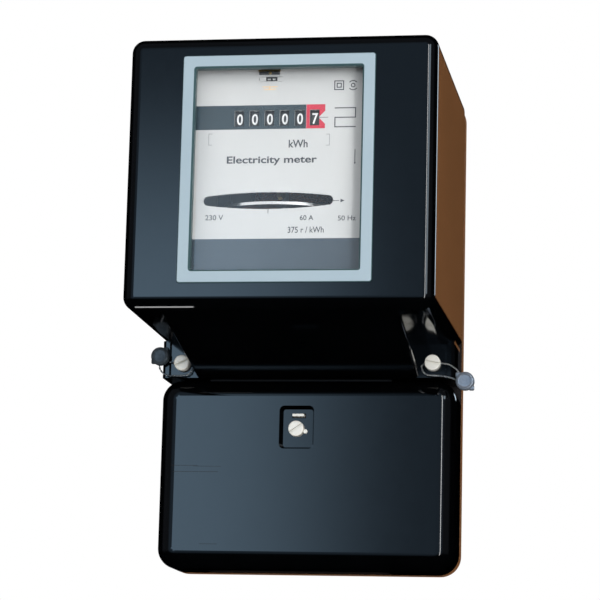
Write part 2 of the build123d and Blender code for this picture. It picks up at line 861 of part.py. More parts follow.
with BuildPart() as lid_cavity:
    with BuildSketch(front(lid_foot)):
        with Locations((0, lid_centre)):
            RectangleRounded(
                case_width - 2 * lid_wall,
                lid_height - 2 * lid_wall,
                lid_corner - lid_wall,
            )
    extrude(amount=lid_run - lid_wall, taper=draft)
    fillet(lid_cavity.faces().sort_by(Axis.Y)[0].outer_wire().edges(), lid_edge - lid_wall)

with BuildPart() as terminal_cover:
    with BuildSketch(front(lid_foot)):
        with Locations((0, lid_centre)):
            RectangleRounded(case_width, lid_height, lid_corner)
    extrude(amount=lid_run, taper=draft)
    fillet(terminal_cover.faces().sort_by(Axis.Y)[0].outer_wire().edges(), lid_edge)
    add(lid_cavity.part, mode=Mode.SUBTRACT)
    # Way for the terminal block's tongue through the top wall
    with BuildSketch(front(lid_foot)):
        with Locations((terminal_x, lid_top)):
            Rectangle(2 * (tongue_half + running_gap), 4 * lid_wall)
    extrude(amount=block_height + running_gap - lid_foot, mode=Mode.SUBTRACT)
    # Well of the captive screw
    with BuildSketch(front(recess_floor - lid_wall)):
        with Locations((recess_x, recess_z)):
            RectangleRounded(recess_width + 2, recess_height + 2, 2)
    extrude(amount=recess_depth)
    with BuildSketch(front(terminal_face)):
        with Locations((recess_x, recess_z)):
            RectangleRounded(recess_width, recess_height, 2.2)
    extrude(amount=-recess_depth, taper=recess_draft, mode=Mode.SUBTRACT)
    with BuildSketch(front(recess_floor - lid_wall)):
        with Locations((captive_x, captive_z)):
            Circle(seal_shank_radius + shaft_gap)
    extrude(amount=lid_run, mode=Mode.SUBTRACT)
    with BuildSketch(front(recess_floor - lid_wall)):
        with Locations((captive_x + 0.8, lug_strip_z)):
            Rectangle(lug_strip_width + 1.0, 2.0)
    extrude(amount=lid_run, mode=Mode.SUBTRACT)
    # Cable opening in the bottom wall
    with BuildSketch(front(lid_foot)):
        with Locations((terminal_x, case_bottom)):
            Rectangle(2 * entry_half, 4 * lid_wall)
    extrude(amount=entry_depth, mode=Mode.SUBTRACT)
save(terminal_cover, "terminal_cover")

with BuildPart() as terminal_cover_screw:
    with BuildSketch(front(base_thick + 3)):
        with Locations((captive_x, captive_z)):
            Circle(seal_shank_radius)
    extrude(amount=recess_floor - base_thick - 3)
    with BuildSketch(front(recess_floor)):
        with Locations((captive_x, captive_z)):
            Circle(seal_head_radius)
    extrude(amount=seal_head_height)
    fillet(terminal_cover_screw.faces().sort_by(Axis.Y)[0].edges(), 0.5)
    with BuildSketch(front(recess_floor + seal_head_height)):
        with Locations((captive_x, captive_z)):
            Rectangle(3 * seal_head_radius, slot_width, rotation=33)
    extrude(amount=-slot_depth, mode=Mode.SUBTRACT)
    with BuildSketch(Plane.YZ.offset(captive_x)):
        with Locations((-(recess_floor + 1.3), captive_z)):
            Circle(cross_hole_radius)
    extrude(amount=2 * seal_head_radius, both=True, mode=Mode.SUBTRACT)
save(terminal_cover_screw, "terminal_cover_screw")


# Frame of the movement, an aluminium casting

with BuildPart() as movement_frame:
    with BuildSketch(front(frame_height)):
        with Locations((mech_x, (frame_low + frame_high) / 2)):
            RectangleRounded(2 * frame_half, frame_high - frame_low, 4)
        with Locations((mech_x, (frame_low + low_bar + frame_high - high_bar) / 2)):
            RectangleRounded(
                2 * (frame_half - side_bar),
                frame_high - high_bar - frame_low - low_bar,
                4,
                mode=Mode.SUBTRACT,
            )
    extrude(amount=frame_thick)
    # Posts of the dial
    with BuildSketch(front(frame_front)):
        with Locations(*post_at):
            Circle(post_radius)
    extrude(amount=dial_back - frame_front)
    # Arm of the lower bearing
    with BuildSketch(Plane.XY.offset(frame_low)):
        with Locations((mech_x, -(frame_front + spindle_height + arm_tip) / 2)):
            Rectangle(2 * arm_half, spindle_height + arm_tip - frame_front)
    extrude(amount=low_arm_thick)
    # Bridge, leaf and arm of the upper bearing
    with BuildSketch(side(mech_x)):
        with BuildLine():
            Polyline(
                (frame_front, frame_high),
                (leaf_height + leaf_thick, frame_high),
                (leaf_height + leaf_thick, high_arm_z + high_arm_thick),
                (spindle_height + arm_tip, high_arm_z + high_arm_thick),
                (spindle_height + arm_tip, high_arm_z),
                (leaf_height, high_arm_z),
                (leaf_height, frame_high - bridge_thick),
                (frame_front, frame_high - bridge_thick),
                close=True,
            )
        make_face()
    extrude(amount=arm_half, both=True)
    # Bearing holes
    with BuildSketch(Plane.XY.offset(frame_low)):
        with Locations((mech_x, -spindle_height)):
            Circle(3.0)
    extrude(amount=low_arm_thick, mode=Mode.SUBTRACT)
    with BuildSketch(Plane.XY.offset(high_arm_z)):
        with Locations((mech_x, -spindle_height)):
            Circle(2.5)
    extrude(amount=high_arm_thick, mode=Mode.SUBTRACT)
    # Holes of the fixing screws
    with BuildSketch(front(frame_height)):
        with Locations(*frame_screw_at):
            Circle(small_shank_radius)
    extrude(amount=frame_thick, mode=Mode.SUBTRACT)
save(movement_frame, "movement_frame")

with BuildPart() as frame_screws:
    with BuildSketch(front(base_thick)):
        with Locations(*frame_screw_at):
            Circle(small_shank_radius)
    extrude(amount=frame_front - base_thick)
    with BuildSketch(front(frame_front)):
        with Locations(*frame_screw_at):
            Circle(small_head_radius)
    extrude(amount=small_head_height)
    with BuildSketch(front(frame_front + small_head_height)):
        with Locations(*frame_screw_at):
            Rectangle(3 * small_head_radius, 0.8, rotation=40)
    extrude(amount=-1.0, mode=Mode.SUBTRACT)
save(frame_screws, "frame_screws")


# Electromagnets

disc_top = disc_z + disc_thick / 2
disc_bottom = disc_z - disc_thick / 2
voltage_low = disc_top + air_gap
voltage_half = 28.0
voltage_high = frame_high - core_drop

with BuildPart() as voltage_core:
    with BuildSketch(front(frame_front)):
        with Locations((mech_x, (voltage_low + voltage_high) / 2)):
            Rectangle(2 * voltage_half, voltage_high - voltage_low)
        for limb_side in (-1, 1):
            with Locations((
                mech_x + limb_side * (limb_half + window_out) / 2,
                (voltage_low + pole_height + voltage_high - voltage_yoke) / 2,
            )):
                Rectangle(
                    window_out - limb_half,
                    voltage_high - voltage_yoke - voltage_low - pole_height,
                    mode=Mode.SUBTRACT,
                )
            with Locations((
                mech_x + limb_side * (limb_half + pole_slot / 2),
                voltage_low + pole_height / 2,
            )):
                Rectangle(pole_slot, pole_height + 1, mode=Mode.SUBTRACT)
    extrude(amount=core_depth)
save(voltage_core, "voltage_core")

bobbin_low = voltage_low + pole_height + running_gap
bobbin_high = voltage_high - voltage_yoke - running_gap
core_middle = frame_front + core_depth / 2

with BuildPart() as voltage_bobbin:
    with BuildSketch(Plane.XY.offset(bobbin_low)):
        with Locations((mech_x, -core_middle)):
            RectangleRounded(2 * (limb_half + coil_build), core_depth + 2 * coil_build, bobbin_corner)
    extrude(amount=bobbin_high - bobbin_low)
    with BuildSketch(Plane.XY.offset(bobbin_low + bobbin_flange)):
        with Locations((mech_x, -core_middle)):
            RectangleRounded(
                2 * (limb_half + coil_build + coil_inset),
                core_depth + 2 * (coil_build + coil_inset),
                bobbin_corner,
            )
            Rectangle(
                2 * (limb_half + bobbin_play + bobbin_wall),
                core_depth + 2 * (bobbin_play + bobbin_wall),
                mode=Mode.SUBTRACT,
            )
    extrude(amount=bobbin_high - bobbin_low - 2 * bobbin_flange, mode=Mode.SUBTRACT)
    with BuildSketch(Plane.XY.offset(bobbin_low)):
        with Locations((mech_x, -core_middle)):
            Rectangle(2 * (limb_half + bobbin_play), core_depth + 2 * bobbin_play)
    extrude(amount=bobbin_high - bobbin_low, mode=Mode.SUBTRACT)
save(voltage_bobbin, "voltage_bobbin")

with BuildPart() as voltage_coil:
    with BuildSketch(Plane.XY.offset(bobbin_low + bobbin_flange)):
        with Locations((mech_x, -core_middle)):
            RectangleRounded(
                2 * (limb_half + coil_build - coil_inset),
                core_depth + 2 * (coil_build - coil_inset),
                coil_corner,
            )
            Rectangle(
                2 * (limb_half + bobbin_play + bobbin_wall),
                core_depth + 2 * (bobbin_play + bobbin_wall),
                mode=Mode.SUBTRACT,
            )
    extrude(amount=bobbin_high - bobbin_low - 2 * bobbin_flange)
save(voltage_coil, "voltage_coil")

current_half = 20.0
current_limb = 10.0
current_low = frame_low + 6
current_high = disc_bottom - air_gap
yoke_height = 10.0

with BuildPart() as current_core:
    with BuildSketch(front(frame_front)):
        with Locations((mech_x, (current_low + current_high) / 2)):
            Rectangle(2 * current_half, current_high - current_low)
        with Locations((mech_x, (current_low + yoke_height + current_high) / 2)):
            Rectangle(
                2 * (current_half - current_limb),
                current_high - current_low - yoke_height,
                mode=Mode.SUBTRACT,
            )
    extrude(amount=core_depth)
    # Relief round the arm of the lower bearing
    with BuildSketch(front(frame_front)):
        with Locations((mech_x, frame_low + low_arm_thick / 2)):
            Rectangle(2 * (arm_half + running_gap), low_arm_thick + 2 * running_gap)
    extrude(amount=core_depth, mode=Mode.SUBTRACT)
save(current_core, "current_core")

coil_wire = 2.6
coil_turns = 5
coil_pitch = 2.8
coil_low = current_low + yoke_height + 1.0
coil_x = current_half - current_limb / 2

with BuildPart() as current_coil:
    for turn in range(coil_turns):
        with BuildSketch(Plane.XY.offset(coil_low + turn * coil_pitch)):
            with Locations((mech_x - coil_x, -core_middle), (mech_x + coil_x, -core_middle)):
                RectangleRounded(current_limb + 0.4 + 2 * coil_wire, core_depth + 0.4 + 2 * coil_wire, 3)
        extrude(amount=coil_wire)
    with BuildSketch(Plane.XY.offset(coil_low)):
        with Locations((mech_x - coil_x, -core_middle), (mech_x + coil_x, -core_middle)):
            RectangleRounded(current_limb + 0.4 + coil_wire, core_depth + 0.4 + coil_wire, 2)
    extrude(amount=(coil_turns - 1) * coil_pitch + coil_wire)
    with BuildSketch(Plane.XY.offset(coil_low)):
        with Locations((mech_x - coil_x, -core_middle), (mech_x + coil_x, -core_middle)):
            Rectangle(current_limb + 0.4, core_depth + 0.4)
    extrude(amount=coil_turns * coil_pitch, mode=Mode.SUBTRACT)
save(current_coil, "current_coil")

# Copper straps from the terminals to the ends of the current coil
strap_top = coil_low + 4

with BuildPart() as current_straps:
    for terminal, coil_end, level in (
        (terminal_at[0], mech_x - coil_x, seam_z + 8.5),
        (terminal_at[1], mech_x + coil_x, seam_z + 2.0),
    ):
        with BuildSketch(front(strap_back)):
            with BuildLine():
                Polyline(
                    (terminal - strap_width / 2, brass_high),
                    (terminal + strap_width / 2, brass_high),
                    (terminal + strap_width / 2, level),
                    (coil_end + strap_width / 2, level),
                    (coil_end + strap_width / 2, strap_top),
                    (coil_end - strap_width / 2, strap_top),
                    (coil_end - strap_width / 2, level + strap_width),
                    (terminal - strap_width / 2, level + strap_width),
                    close=True,
                )
            make_face()
        extrude(amount=strap_thick)
save(current_straps, "current_straps")


# Brake magnet, held by a bracket on the frame's right bar

magnet_overlap = 14.0
magnet_left = mech_x + disc_radius - magnet_overlap
magnet_right = frame_right
magnet_depth = 18.0
magnet_half = 10.0
magnet_gap = disc_thick / 2 + 1.3
bracket_left = mech_x + disc_radius + 1.5

with BuildPart() as magnet_bracket:
    with BuildSketch(Plane.XY.offset(disc_z - bracket_half)):
        with BuildLine():
            Polyline(
                (bracket_left, -frame_front),
                (frame_right, -frame_front),
                (frame_right, -magnet_back),
                (bracket_left, -magnet_back),
                close=True,
            )
        make_face()
    extrude(amount=2 * bracket_half)
save(magnet_bracket, "magnet_bracket")

with BuildPart() as brake_magnet:
    with BuildSketch(front(magnet_back)):
        with Locations(((magnet_left + magnet_right) / 2, disc_z)):
            RectangleRounded(magnet_right - magnet_left, 2 * magnet_half, 3)
        with Locations(((magnet_left + bracket_left + 1) / 2 - 1, disc_z)):
            Rectangle(bracket_left + 1 - magnet_left + 2, 2 * magnet_gap, mode=Mode.SUBTRACT)
    extrude(amount=magnet_depth)
save(brake_magnet, "brake_magnet")


# Bearings and rotor

with BuildPart() as lower_bearing:
    with BuildSketch(Plane.XY.offset(frame_low - 3)):
        with Locations((mech_x, -spindle_height)):
            Circle(3.0)
    extrude(amount=spindle_bottom - 1 - frame_low + 3)
    with BuildSketch(Plane.XY.offset(spindle_bottom - 4)):
        with Locations((mech_x, -spindle_height)):
            Circle(pivot_radius + shaft_gap)
    extrude(amount=4, mode=Mode.SUBTRACT)
save(lower_bearing, "lower_bearing")

with BuildPart() as upper_bearing:
    with BuildSketch(Plane.XY.offset(spindle_top + running_gap)):
        with Locations((mech_x, -spindle_height)):
            Circle(2.5)
    extrude(amount=high_arm_z + high_arm_thick + 1.5 - spindle_top - running_gap)
    with BuildSketch(Plane.XY.offset(spindle_top - 2.5)):
        with Locations((mech_x, -spindle_height)):
            Circle(pin_radius)
    extrude(amount=3)
save(upper_bearing, "upper_bearing")

worm_lead = pi * worm_module
worm_turns = 5
worm_core = worm_pitch_radius - 0.6
worm_tip = worm_pitch_radius + 0.25
worm_length = worm_turns * worm_lead + 1.6
worm_low = worm_z - worm_length / 2
hub_radius = 5.0
hub_height = 3.0

with BuildPart() as rotor_spindle:
    with BuildSketch(Plane.XY.offset(spindle_bottom)):
        with Locations((mech_x, -spindle_height)):
            Circle(spindle_radius)
    extrude(amount=spindle_top - spindle_bottom)
    with BuildSketch(Plane.XY.offset(spindle_bottom - 3.7)):
        with Locations((mech_x, -spindle_height)):
            Circle(pivot_radius)
    extrude(amount=4)
    # Hub that the disc is staked under
    with BuildSketch(Plane.XY.offset(disc_top)):
        with Locations((mech_x, -spindle_height)):
            Circle(hub_radius)
    extrude(amount=hub_height)
    with BuildSketch(Plane.XY.offset(spindle_top - 3)):
        with Locations((mech_x, -spindle_height)):
            Circle(pin_radius + shaft_gap)
    extrude(amount=3, mode=Mode.SUBTRACT)
save(rotor_spindle, "rotor_spindle")

with BuildPart() as rotor_disc:
    with BuildSketch(Plane.XY.offset(disc_bottom)):
        with Locations((mech_x, -spindle_height)):
            Circle(disc_radius)
            Circle(spindle_radius, mode=Mode.SUBTRACT)
    extrude(amount=disc_thick)
save(rotor_disc, "rotor_disc")

# The worm's thread passes the wheel's middle gap at the front of the spindle
thread_start = worm_z - (worm_turns // 2 + 0.75) * worm_lead
with BuildPart() as worm:
    with BuildSketch(Plane.XY.offset(worm_low)):
        Circle(worm_core)
    extrude(amount=worm_length)
    with BuildLine():
        Helix(worm_lead, worm_turns * worm_lead, worm_core, center=(0, 0, thread_start))
    with BuildSketch(Plane(origin=(worm_core, 0, thread_start), x_dir=(1, 0, 0), z_dir=(0, -1, 0))):
        with BuildLine():
            Polyline(
                (-0.25, -0.27),
                (worm_tip - worm_core, -0.14),
                (worm_tip - worm_core, 0.14),
                (-0.25, 0.27),
                close=True,
            )
        make_face()
    sweep(is_frenet=True)
    with BuildSketch(Plane.XY.offset(worm_low)):
        Circle(spindle_radius)
    extrude(amount=worm_length, mode=Mode.SUBTRACT)
worm_part = Pos(mech_x, -spindle_height, 0) * worm.part
worm_part.label = "worm"
export_step(worm_part, "parts/worm.step")


# Register: worm wheel, two reductions, six drums and the pinions between them

def turned_gear(teeth, module, centre, phase, x, thick, bore):
    """A spur gear between x and x + thick, on a shaft of the given radius."""
    with BuildPart() as gear:
        with BuildSketch(side(x + thick)):
            with BuildLine():
                Polyline(*gear_points(teeth, module, centre, phase), close=True)
            make_face()
            if bore:
                with Locations(centre):
                    Circle(bore, mode=Mode.SUBTRACT)
        extrude(amount=thick)
    return gear.part


def shaft_between(left, right, centre, radius):
    """A plain round shaft between two X places."""
    with BuildPart() as rod:
        with BuildSketch(side(right)):
            with Locations(centre):
                Circle(radius)
        extrude(amount=right - left)
    return rod.part


plate_left = register_left - register_plate
plate_right = register_right + register_plate
second_stage_x = drum_last_x + drum_rim / 2 + 0.9
first_stage_x = second_stage_x + 4.6
stage_thick = 1.4

with BuildPart() as worm_wheel:
    add(turned_gear(
        worm_wheel_teeth, worm_module, feed_shaft_at, pi + pi / worm_wheel_teeth,
        mech_x - 0.8, 1.6, shaft_radius,
    ))
save(worm_wheel, "worm_wheel")

with BuildPart() as feed_shaft:
    add(shaft_between(plate_left, plate_right, feed_shaft_at, shaft_radius))
    add(turned_gear(
        first_pinion_teeth, first_module, feed_shaft_at, first_angle,
        first_stage_x - 0.3, stage_thick + 0.6, 0,
    ))
save(feed_shaft, "feed_shaft")

with BuildPart() as middle_wheel:
    add(turned_gear(
        first_wheel_teeth, first_module, middle_shaft_at, first_angle + pi + pi / first_wheel_teeth,
        first_stage_x, stage_thick, shaft_radius,
    ))
save(middle_wheel, "middle_wheel")

with BuildPart() as middle_shaft:
    add(shaft_between(plate_left, plate_right, middle_shaft_at, shaft_radius))
    add(turned_gear(
        second_pinion_teeth, second_module, middle_shaft_at, second_angle,
        second_stage_x - 0.3, stage_thick + 0.6, 0,
    ))
save(middle_shaft, "middle_shaft")

drum_bore = shaft_radius + shaft_gap

for k, x in enumerate(drum_x):
    with BuildPart() as drum:
        with BuildSketch(side(x + drum_rim / 2)):
            with Locations(drum_shaft):
                Circle(drum_radius)
        extrude(amount=drum_rim)
        if k < drum_count - 1:
            # Driven ring on the right, beside the rim
            add(turned_gear(
                ring_teeth, transfer_module, drum_shaft, transfer_angle,
                x + drum_rim / 2, ring_thick, 0,
            ))
        else:
            add(turned_gear(
                second_wheel_teeth, second_module, drum_shaft,
                second_angle + pi + pi / second_wheel_teeth, second_stage_x, stage_thick, 0,
            ))
            with BuildSketch(side(second_stage_x)):
                with Locations(drum_shaft):
                    Circle(3.0)
            extrude(amount=second_stage_x - x - drum_rim / 2)
        with BuildSketch(side(x + drum_pitch)):
            with Locations(drum_shaft):
                Circle(drum_bore)
        extrude(amount=2 * drum_pitch, mode=Mode.SUBTRACT)
    save(drum, f"number_drum_{k + 1}")

for k in range(drum_count - 1):
    with BuildPart() as pinion:
        add(turned_gear(
            pinion_teeth, transfer_module, pinion_shaft_at, transfer_angle + pi + pi / pinion_teeth,
            drum_x[k] + drum_rim / 2 + 0.15, drum_pitch - drum_rim - 0.3, pinion_axle_radius + shaft_gap,
        ))
    save(pinion, f"transfer_pinion_{k + 1}")

with BuildPart() as drum_axle:
    add(shaft_between(plate_left, plate_right, drum_shaft, shaft_radius))
save(drum_axle, "drum_axle")

with BuildPart() as pinion_axle:
    add(shaft_between(plate_left, plate_right, pinion_shaft_at, pinion_axle_radius))
save(pinion_axle, "pinion_axle")

with BuildPart() as register_frame:
    for x in (register_left, plate_right):
        with BuildSketch(side(x)):
            with BuildLine():
                Polyline(
                    (register_back, register_low),
                    (middle_shaft_at[0] + 4, register_low),
                    (dial_back, register_low + 14),
                    (dial_back, register_high),
                    (register_back, register_high),
                    close=True,
                )
            make_face()
            with Locations(feed_shaft_at, middle_shaft_at):
                Circle(drum_bore, mode=Mode.SUBTRACT)
            with Locations(drum_shaft):
                Circle(shaft_radius, mode=Mode.SUBTRACT)
            with Locations(pinion_shaft_at):
                Circle(pinion_axle_radius, mode=Mode.SUBTRACT)
        extrude(amount=register_plate)
    # Bridge across the top
    with BuildSketch(side(plate_right)):
        with Locations((dial_back - register_bridge / 2, register_high + register_plate / 2)):
            Rectangle(register_bridge, register_plate)
    extrude(amount=plate_right - plate_left)
save(register_frame, "register_frame")


# Dial

with BuildPart() as dial_plate:
    with BuildSketch(front(dial_back)):
        with Locations((mech_x, (dial_low + dial_high) / 2)):
            Rectangle(2 * dial_half, dial_high - dial_low)
        # Digit windows
        with Locations(*[(x, drum_z) for x in drum_x]):
            Rectangle(digit_window_width, digit_window_height, mode=Mode.SUBTRACT)
        # Slot for the disc's rim, deeper in the middle
        with BuildLine():
            end_x = dial_slot_half - dial_slot_end / 2
            half_end = dial_slot_end / 2
            half_mid = dial_slot_mid / 2
            ThreePointArc(
                (mech_x - end_x, disc_z + half_end),
                (mech_x, disc_z + half_mid),
                (mech_x + end_x, disc_z + half_end),
            )
            ThreePointArc(
                (mech_x + end_x, disc_z + half_end),
                (mech_x + end_x + half_end, disc_z),
                (mech_x + end_x, disc_z - half_end),
            )
            ThreePointArc(
                (mech_x + end_x, disc_z - half_end),
                (mech_x, disc_z - half_mid),
                (mech_x - end_x, disc_z - half_end),
            )
            ThreePointArc(
                (mech_x - end_x, disc_z - half_end),
                (mech_x - end_x - half_end, disc_z),
                (mech_x - end_x, disc_z + half_end),
            )
        make_face(mode=Mode.SUBTRACT)
        # Slots of the hook at the top
        with Locations((mech_x, dial_high - 9.0)):
            SlotOverall(10.4, 2.2, mode=Mode.SUBTRACT)
    extrude(amount=dial_thick)
save(dial_plate, "dial_plate")

with BuildPart() as dial_screws:
    with BuildSketch(front(dial_height)):
        with Locations(*post_at):
            Circle(small_head_radius)
    extrude(amount=1.6)
save(dial_screws, "dial_screws")

with BuildPart() as dial_clip:
    with BuildSketch(front(dial_height)):
        with Locations((mech_x - 0.7, dial_high - 4.8)):
            Rectangle(9.0, 2.2)
    extrude(amount=1.2)
save(dial_clip, "dial_clip")
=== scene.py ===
import bpy
from math import cos, pi, radians, sin
from mathutils import Matrix, Vector


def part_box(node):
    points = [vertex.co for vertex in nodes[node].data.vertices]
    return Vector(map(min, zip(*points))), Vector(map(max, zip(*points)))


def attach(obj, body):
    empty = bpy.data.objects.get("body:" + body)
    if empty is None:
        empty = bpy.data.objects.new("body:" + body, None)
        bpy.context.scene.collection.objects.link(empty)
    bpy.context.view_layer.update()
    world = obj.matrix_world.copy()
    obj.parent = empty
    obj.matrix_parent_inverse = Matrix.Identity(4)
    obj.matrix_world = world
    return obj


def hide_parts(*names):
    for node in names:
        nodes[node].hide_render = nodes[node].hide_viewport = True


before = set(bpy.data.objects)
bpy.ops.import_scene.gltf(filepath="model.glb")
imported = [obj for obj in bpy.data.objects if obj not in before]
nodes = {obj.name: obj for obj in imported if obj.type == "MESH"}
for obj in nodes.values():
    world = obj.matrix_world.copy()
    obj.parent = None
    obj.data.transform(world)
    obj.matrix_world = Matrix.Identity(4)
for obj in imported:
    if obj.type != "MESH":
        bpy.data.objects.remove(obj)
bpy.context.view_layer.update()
mm = 0.001
print("frame loaded", len(nodes), "nodes")


# Camera, first of all, at the photograph's angle

camera = {
    "place": (0.16808, -1.08873, -0.18757),
    "pan": 9.257,  # degrees to the left of straight on
    "tilt": 10.525,  # degrees upwards
    "roll": 1.438,
    "lens": 149.21,
    "sensor": 36.0,
}


def addCamera(s):
    pan, tilt, roll = radians(s["pan"]), radians(s["tilt"]), radians(s["roll"])
    ahead = Vector((-sin(pan) * cos(tilt), cos(pan) * cos(tilt), sin(tilt)))
    level = ahead.cross(Vector((0, 0, 1))).normalized()
    above = level.cross(ahead)
    right = level * cos(roll) + above * sin(roll)
    up = above * cos(roll) - level * sin(roll)
    turn = Matrix((right, up, -ahead)).transposed()
    bpy.ops.object.camera_add(location=s["place"], rotation=turn.to_euler())
    cam = bpy.context.object
    cam.data.lens = s["lens"]
    cam.data.sensor_width = s["sensor"]
    cam.data.clip_start = 0.05
    cam.data.clip_end = 20
    bpy.context.scene.camera = cam


addCamera(camera)
bpy.context.scene.view_settings.view_transform = "Standard"
print("camera placed")


# Light, floor and background

studio = {
    "floorLevel": -0.9,
    "floorSize": 8,
    "floorRough": 0.9,
    "floorColour": (0.86, 0.86, 0.86, 1),
    "softLight": 0.43,  # what matt surfaces get from all round
    "frontSky": (0.24, 0.36, 0.50, 1),  # what gloss sees in front
    "sideSky": (0.09, 0.10, 0.12, 1),  # what gloss sees to the sides and above
    "darkSky": (0.0, 0.0, 0.0, 1),  # what gloss sees behind and below
    "glare": (1.7, 2.55, 3.4, 1),  # a pale wall, low on the left in front, that gloss sees
    "glareAcross": ((-0.11, -0.205), (-0.34, -0.27)),  # from none to full, right and left of it
    "glareHigh": ((0.28, 0.18), (-0.05, 0.04)),  # from none to full, above and below it
    "sideGlare": (3.9, 4.7, 5.4, 1),  # a paler wall on the right, above eye level
    "sideGlareAcross": ((0.46, 0.54), (0.72, 0.62)),
    "sideGlareHigh": ((0.15, 0.20), (0.45, 0.35)),
    "sideEdge": (-0.90, -0.75),  # where one part of the sky passes into the next
    "backEdge": (-0.3, 0.05),
    "lowEdge": (-0.05, -0.3),
    "glareEdge": (-0.6, -0.8),
}
caseMiddle = (0, -0.06, 0)
lamps = {
    "key": {"place": (-0.9, -1.9, 0.6), "size": (1.2, 1.2), "watts": 8, "gloss": False},
    "fill": {"place": (1.1, -1.9, 0.0), "size": (1.2, 1.2), "watts": 16, "gloss": False},
    "edgeStrip": {"place": (0.85, -1.9, 0.1), "size": (0.14, 1.6), "watts": 10, "gloss": True},
    "lowStrip": {"place": (-0.052, -0.113, -0.03), "aim": (-0.052, -0.1129, 1), "size": (0.026, 0.007),
                 "watts": 0.004, "gloss": True, "matt": False},
}


def addNode(tree, kind, place, **values):
    node = tree.nodes.new(kind)
    node.location = place
    for key, value in values.items():
        if hasattr(node, key):
            setattr(node, key, value)
        else:
            node.inputs[key].default_value = value
    return node


def ramp(tree, source, start, end, place):
    # A smooth step from 0 at start to 1 at end
    step = addNode(tree, "ShaderNodeMapRange", place, interpolation_type="SMOOTHSTEP")
    step.inputs["From Min"].default_value = start
    step.inputs["From Max"].default_value = end
    tree.links.new(source, step.inputs["Value"])
    return step.outputs[0]


def blendColours(tree, factor, first, second, place):
    blend = addNode(tree, "ShaderNodeMix", place, data_type="RGBA")
    tree.links.new(factor, blend.inputs[0])
    for socket, colour in ((blend.inputs[6], first), (blend.inputs[7], second)):
        if isinstance(colour, tuple):
            socket.default_value = colour
        else:
            tree.links.new(colour, socket)
    return blend.outputs[2]


def window(tree, axes, across, high, level):
    # 1 inside a bright patch of sky, 0 outside it, with soft edges
    mask = None
    edges = (("X", across[0]), ("X", across[1]), ("Z", high[0]), ("Z", high[1]))
    for k, (axis, (start, end)) in enumerate(edges):
        step = ramp(tree, axes.outputs[axis], start, end, (-1000, level - 200 * k))
        if mask is not None:
            both = addNode(tree, "ShaderNodeMath", (-800, level - 200 * k), operation="MULTIPLY")
            tree.links.new(mask, both.inputs[0])
            tree.links.new(step, both.inputs[1])
            step = both.outputs[0]
        mask = step
    return mask


def buildWorld(s):
    world = bpy.data.worlds.new("studio")
    bpy.context.scene.world = world
    world.use_nodes = True
    tree = world.node_tree
    tree.nodes.clear()
    link = tree.links.new
    path = addNode(tree, "ShaderNodeLightPath", (-900, 500))
    direction = addNode(tree, "ShaderNodeTexCoord", (-1500, -100))
    axes = addNode(tree, "ShaderNodeSeparateXYZ", (-1300, -100))
    link(direction.outputs["Generated"], axes.inputs[0])
    toSide = ramp(tree, axes.outputs["Y"], *s["sideEdge"], (-1000, 200))
    toBack = ramp(tree, axes.outputs["Y"], *s["backEdge"], (-1000, 0))
    toLow = ramp(tree, axes.outputs["Z"], *s["lowEdge"], (-1000, -200))
    front = ramp(tree, axes.outputs["Y"], *s["glareEdge"], (-1000, -1300))
    glare = window(tree, axes, s["glareAcross"], s["glareHigh"], -400)
    both = addNode(tree, "ShaderNodeMath", (-600, -1000), operation="MULTIPLY")
    link(glare, both.inputs[0])
    link(front, both.inputs[1])
    glare = both.outputs[0]
    sideGlare = window(tree, axes, s["sideGlareAcross"], s["sideGlareHigh"], -1500)
    sky = blendColours(tree, toSide, s["frontSky"], s["sideSky"], (-700, 100))
    sky = blendColours(tree, toBack, sky, s["darkSky"], (-550, 50))
    sky = blendColours(tree, toLow, sky, s["darkSky"], (-400, 0))
    sky = blendColours(tree, glare, sky, s["glare"], (-250, -50))
    sky = blendColours(tree, sideGlare, sky, s["sideGlare"], (-150, -100))
    soft = addNode(tree, "ShaderNodeBackground", (-50, 200), Color=(1, 1, 1, 1), Strength=s["softLight"])
    gloss = addNode(tree, "ShaderNodeBackground", (-50, 0), Strength=1)
    link(sky, gloss.inputs["Color"])
    white = addNode(tree, "ShaderNodeBackground", (-50, -200), Color=(1, 1, 1, 1), Strength=1)
    first = addNode(tree, "ShaderNodeMixShader", (150, 100))
    link(path.outputs["Is Glossy Ray"], first.inputs[0])
    link(soft.outputs[0], first.inputs[1])
    link(gloss.outputs[0], first.inputs[2])
    seen = addNode(tree, "ShaderNodeMath", (-600, 500), operation="MAXIMUM")
    link(path.outputs["Is Camera Ray"], seen.inputs[0])
    link(path.outputs["Is Transmission Ray"], seen.inputs[1])
    last = addNode(tree, "ShaderNodeMixShader", (350, 100))
    link(seen.outputs[0], last.inputs[0])
    link(first.outputs[0], last.inputs[1])
    link(white.outputs[0], last.inputs[2])
    out = addNode(tree, "ShaderNodeOutputWorld", (550, 100))
    link(last.outputs[0], out.inputs[0])


def addLamp(name, s):
    aim = Vector(s.get("aim", caseMiddle))
    place = Vector(s["place"])
    bpy.ops.object.light_add(type="AREA", location=place)
    lamp = bpy.context.object
    lamp.name = name
    lamp.rotation_euler = (aim - place).to_track_quat("-Z", "Y").to_euler()
    lamp.data.shape = "RECTANGLE"
    lamp.data.size, lamp.data.size_y = s["size"]
    lamp.data.energy = s["watts"]
    lamp.visible_camera = False
    lamp.visible_transmission = False
    lamp.visible_glossy = s["gloss"]
    lamp.visible_diffuse = s.get("matt", True)


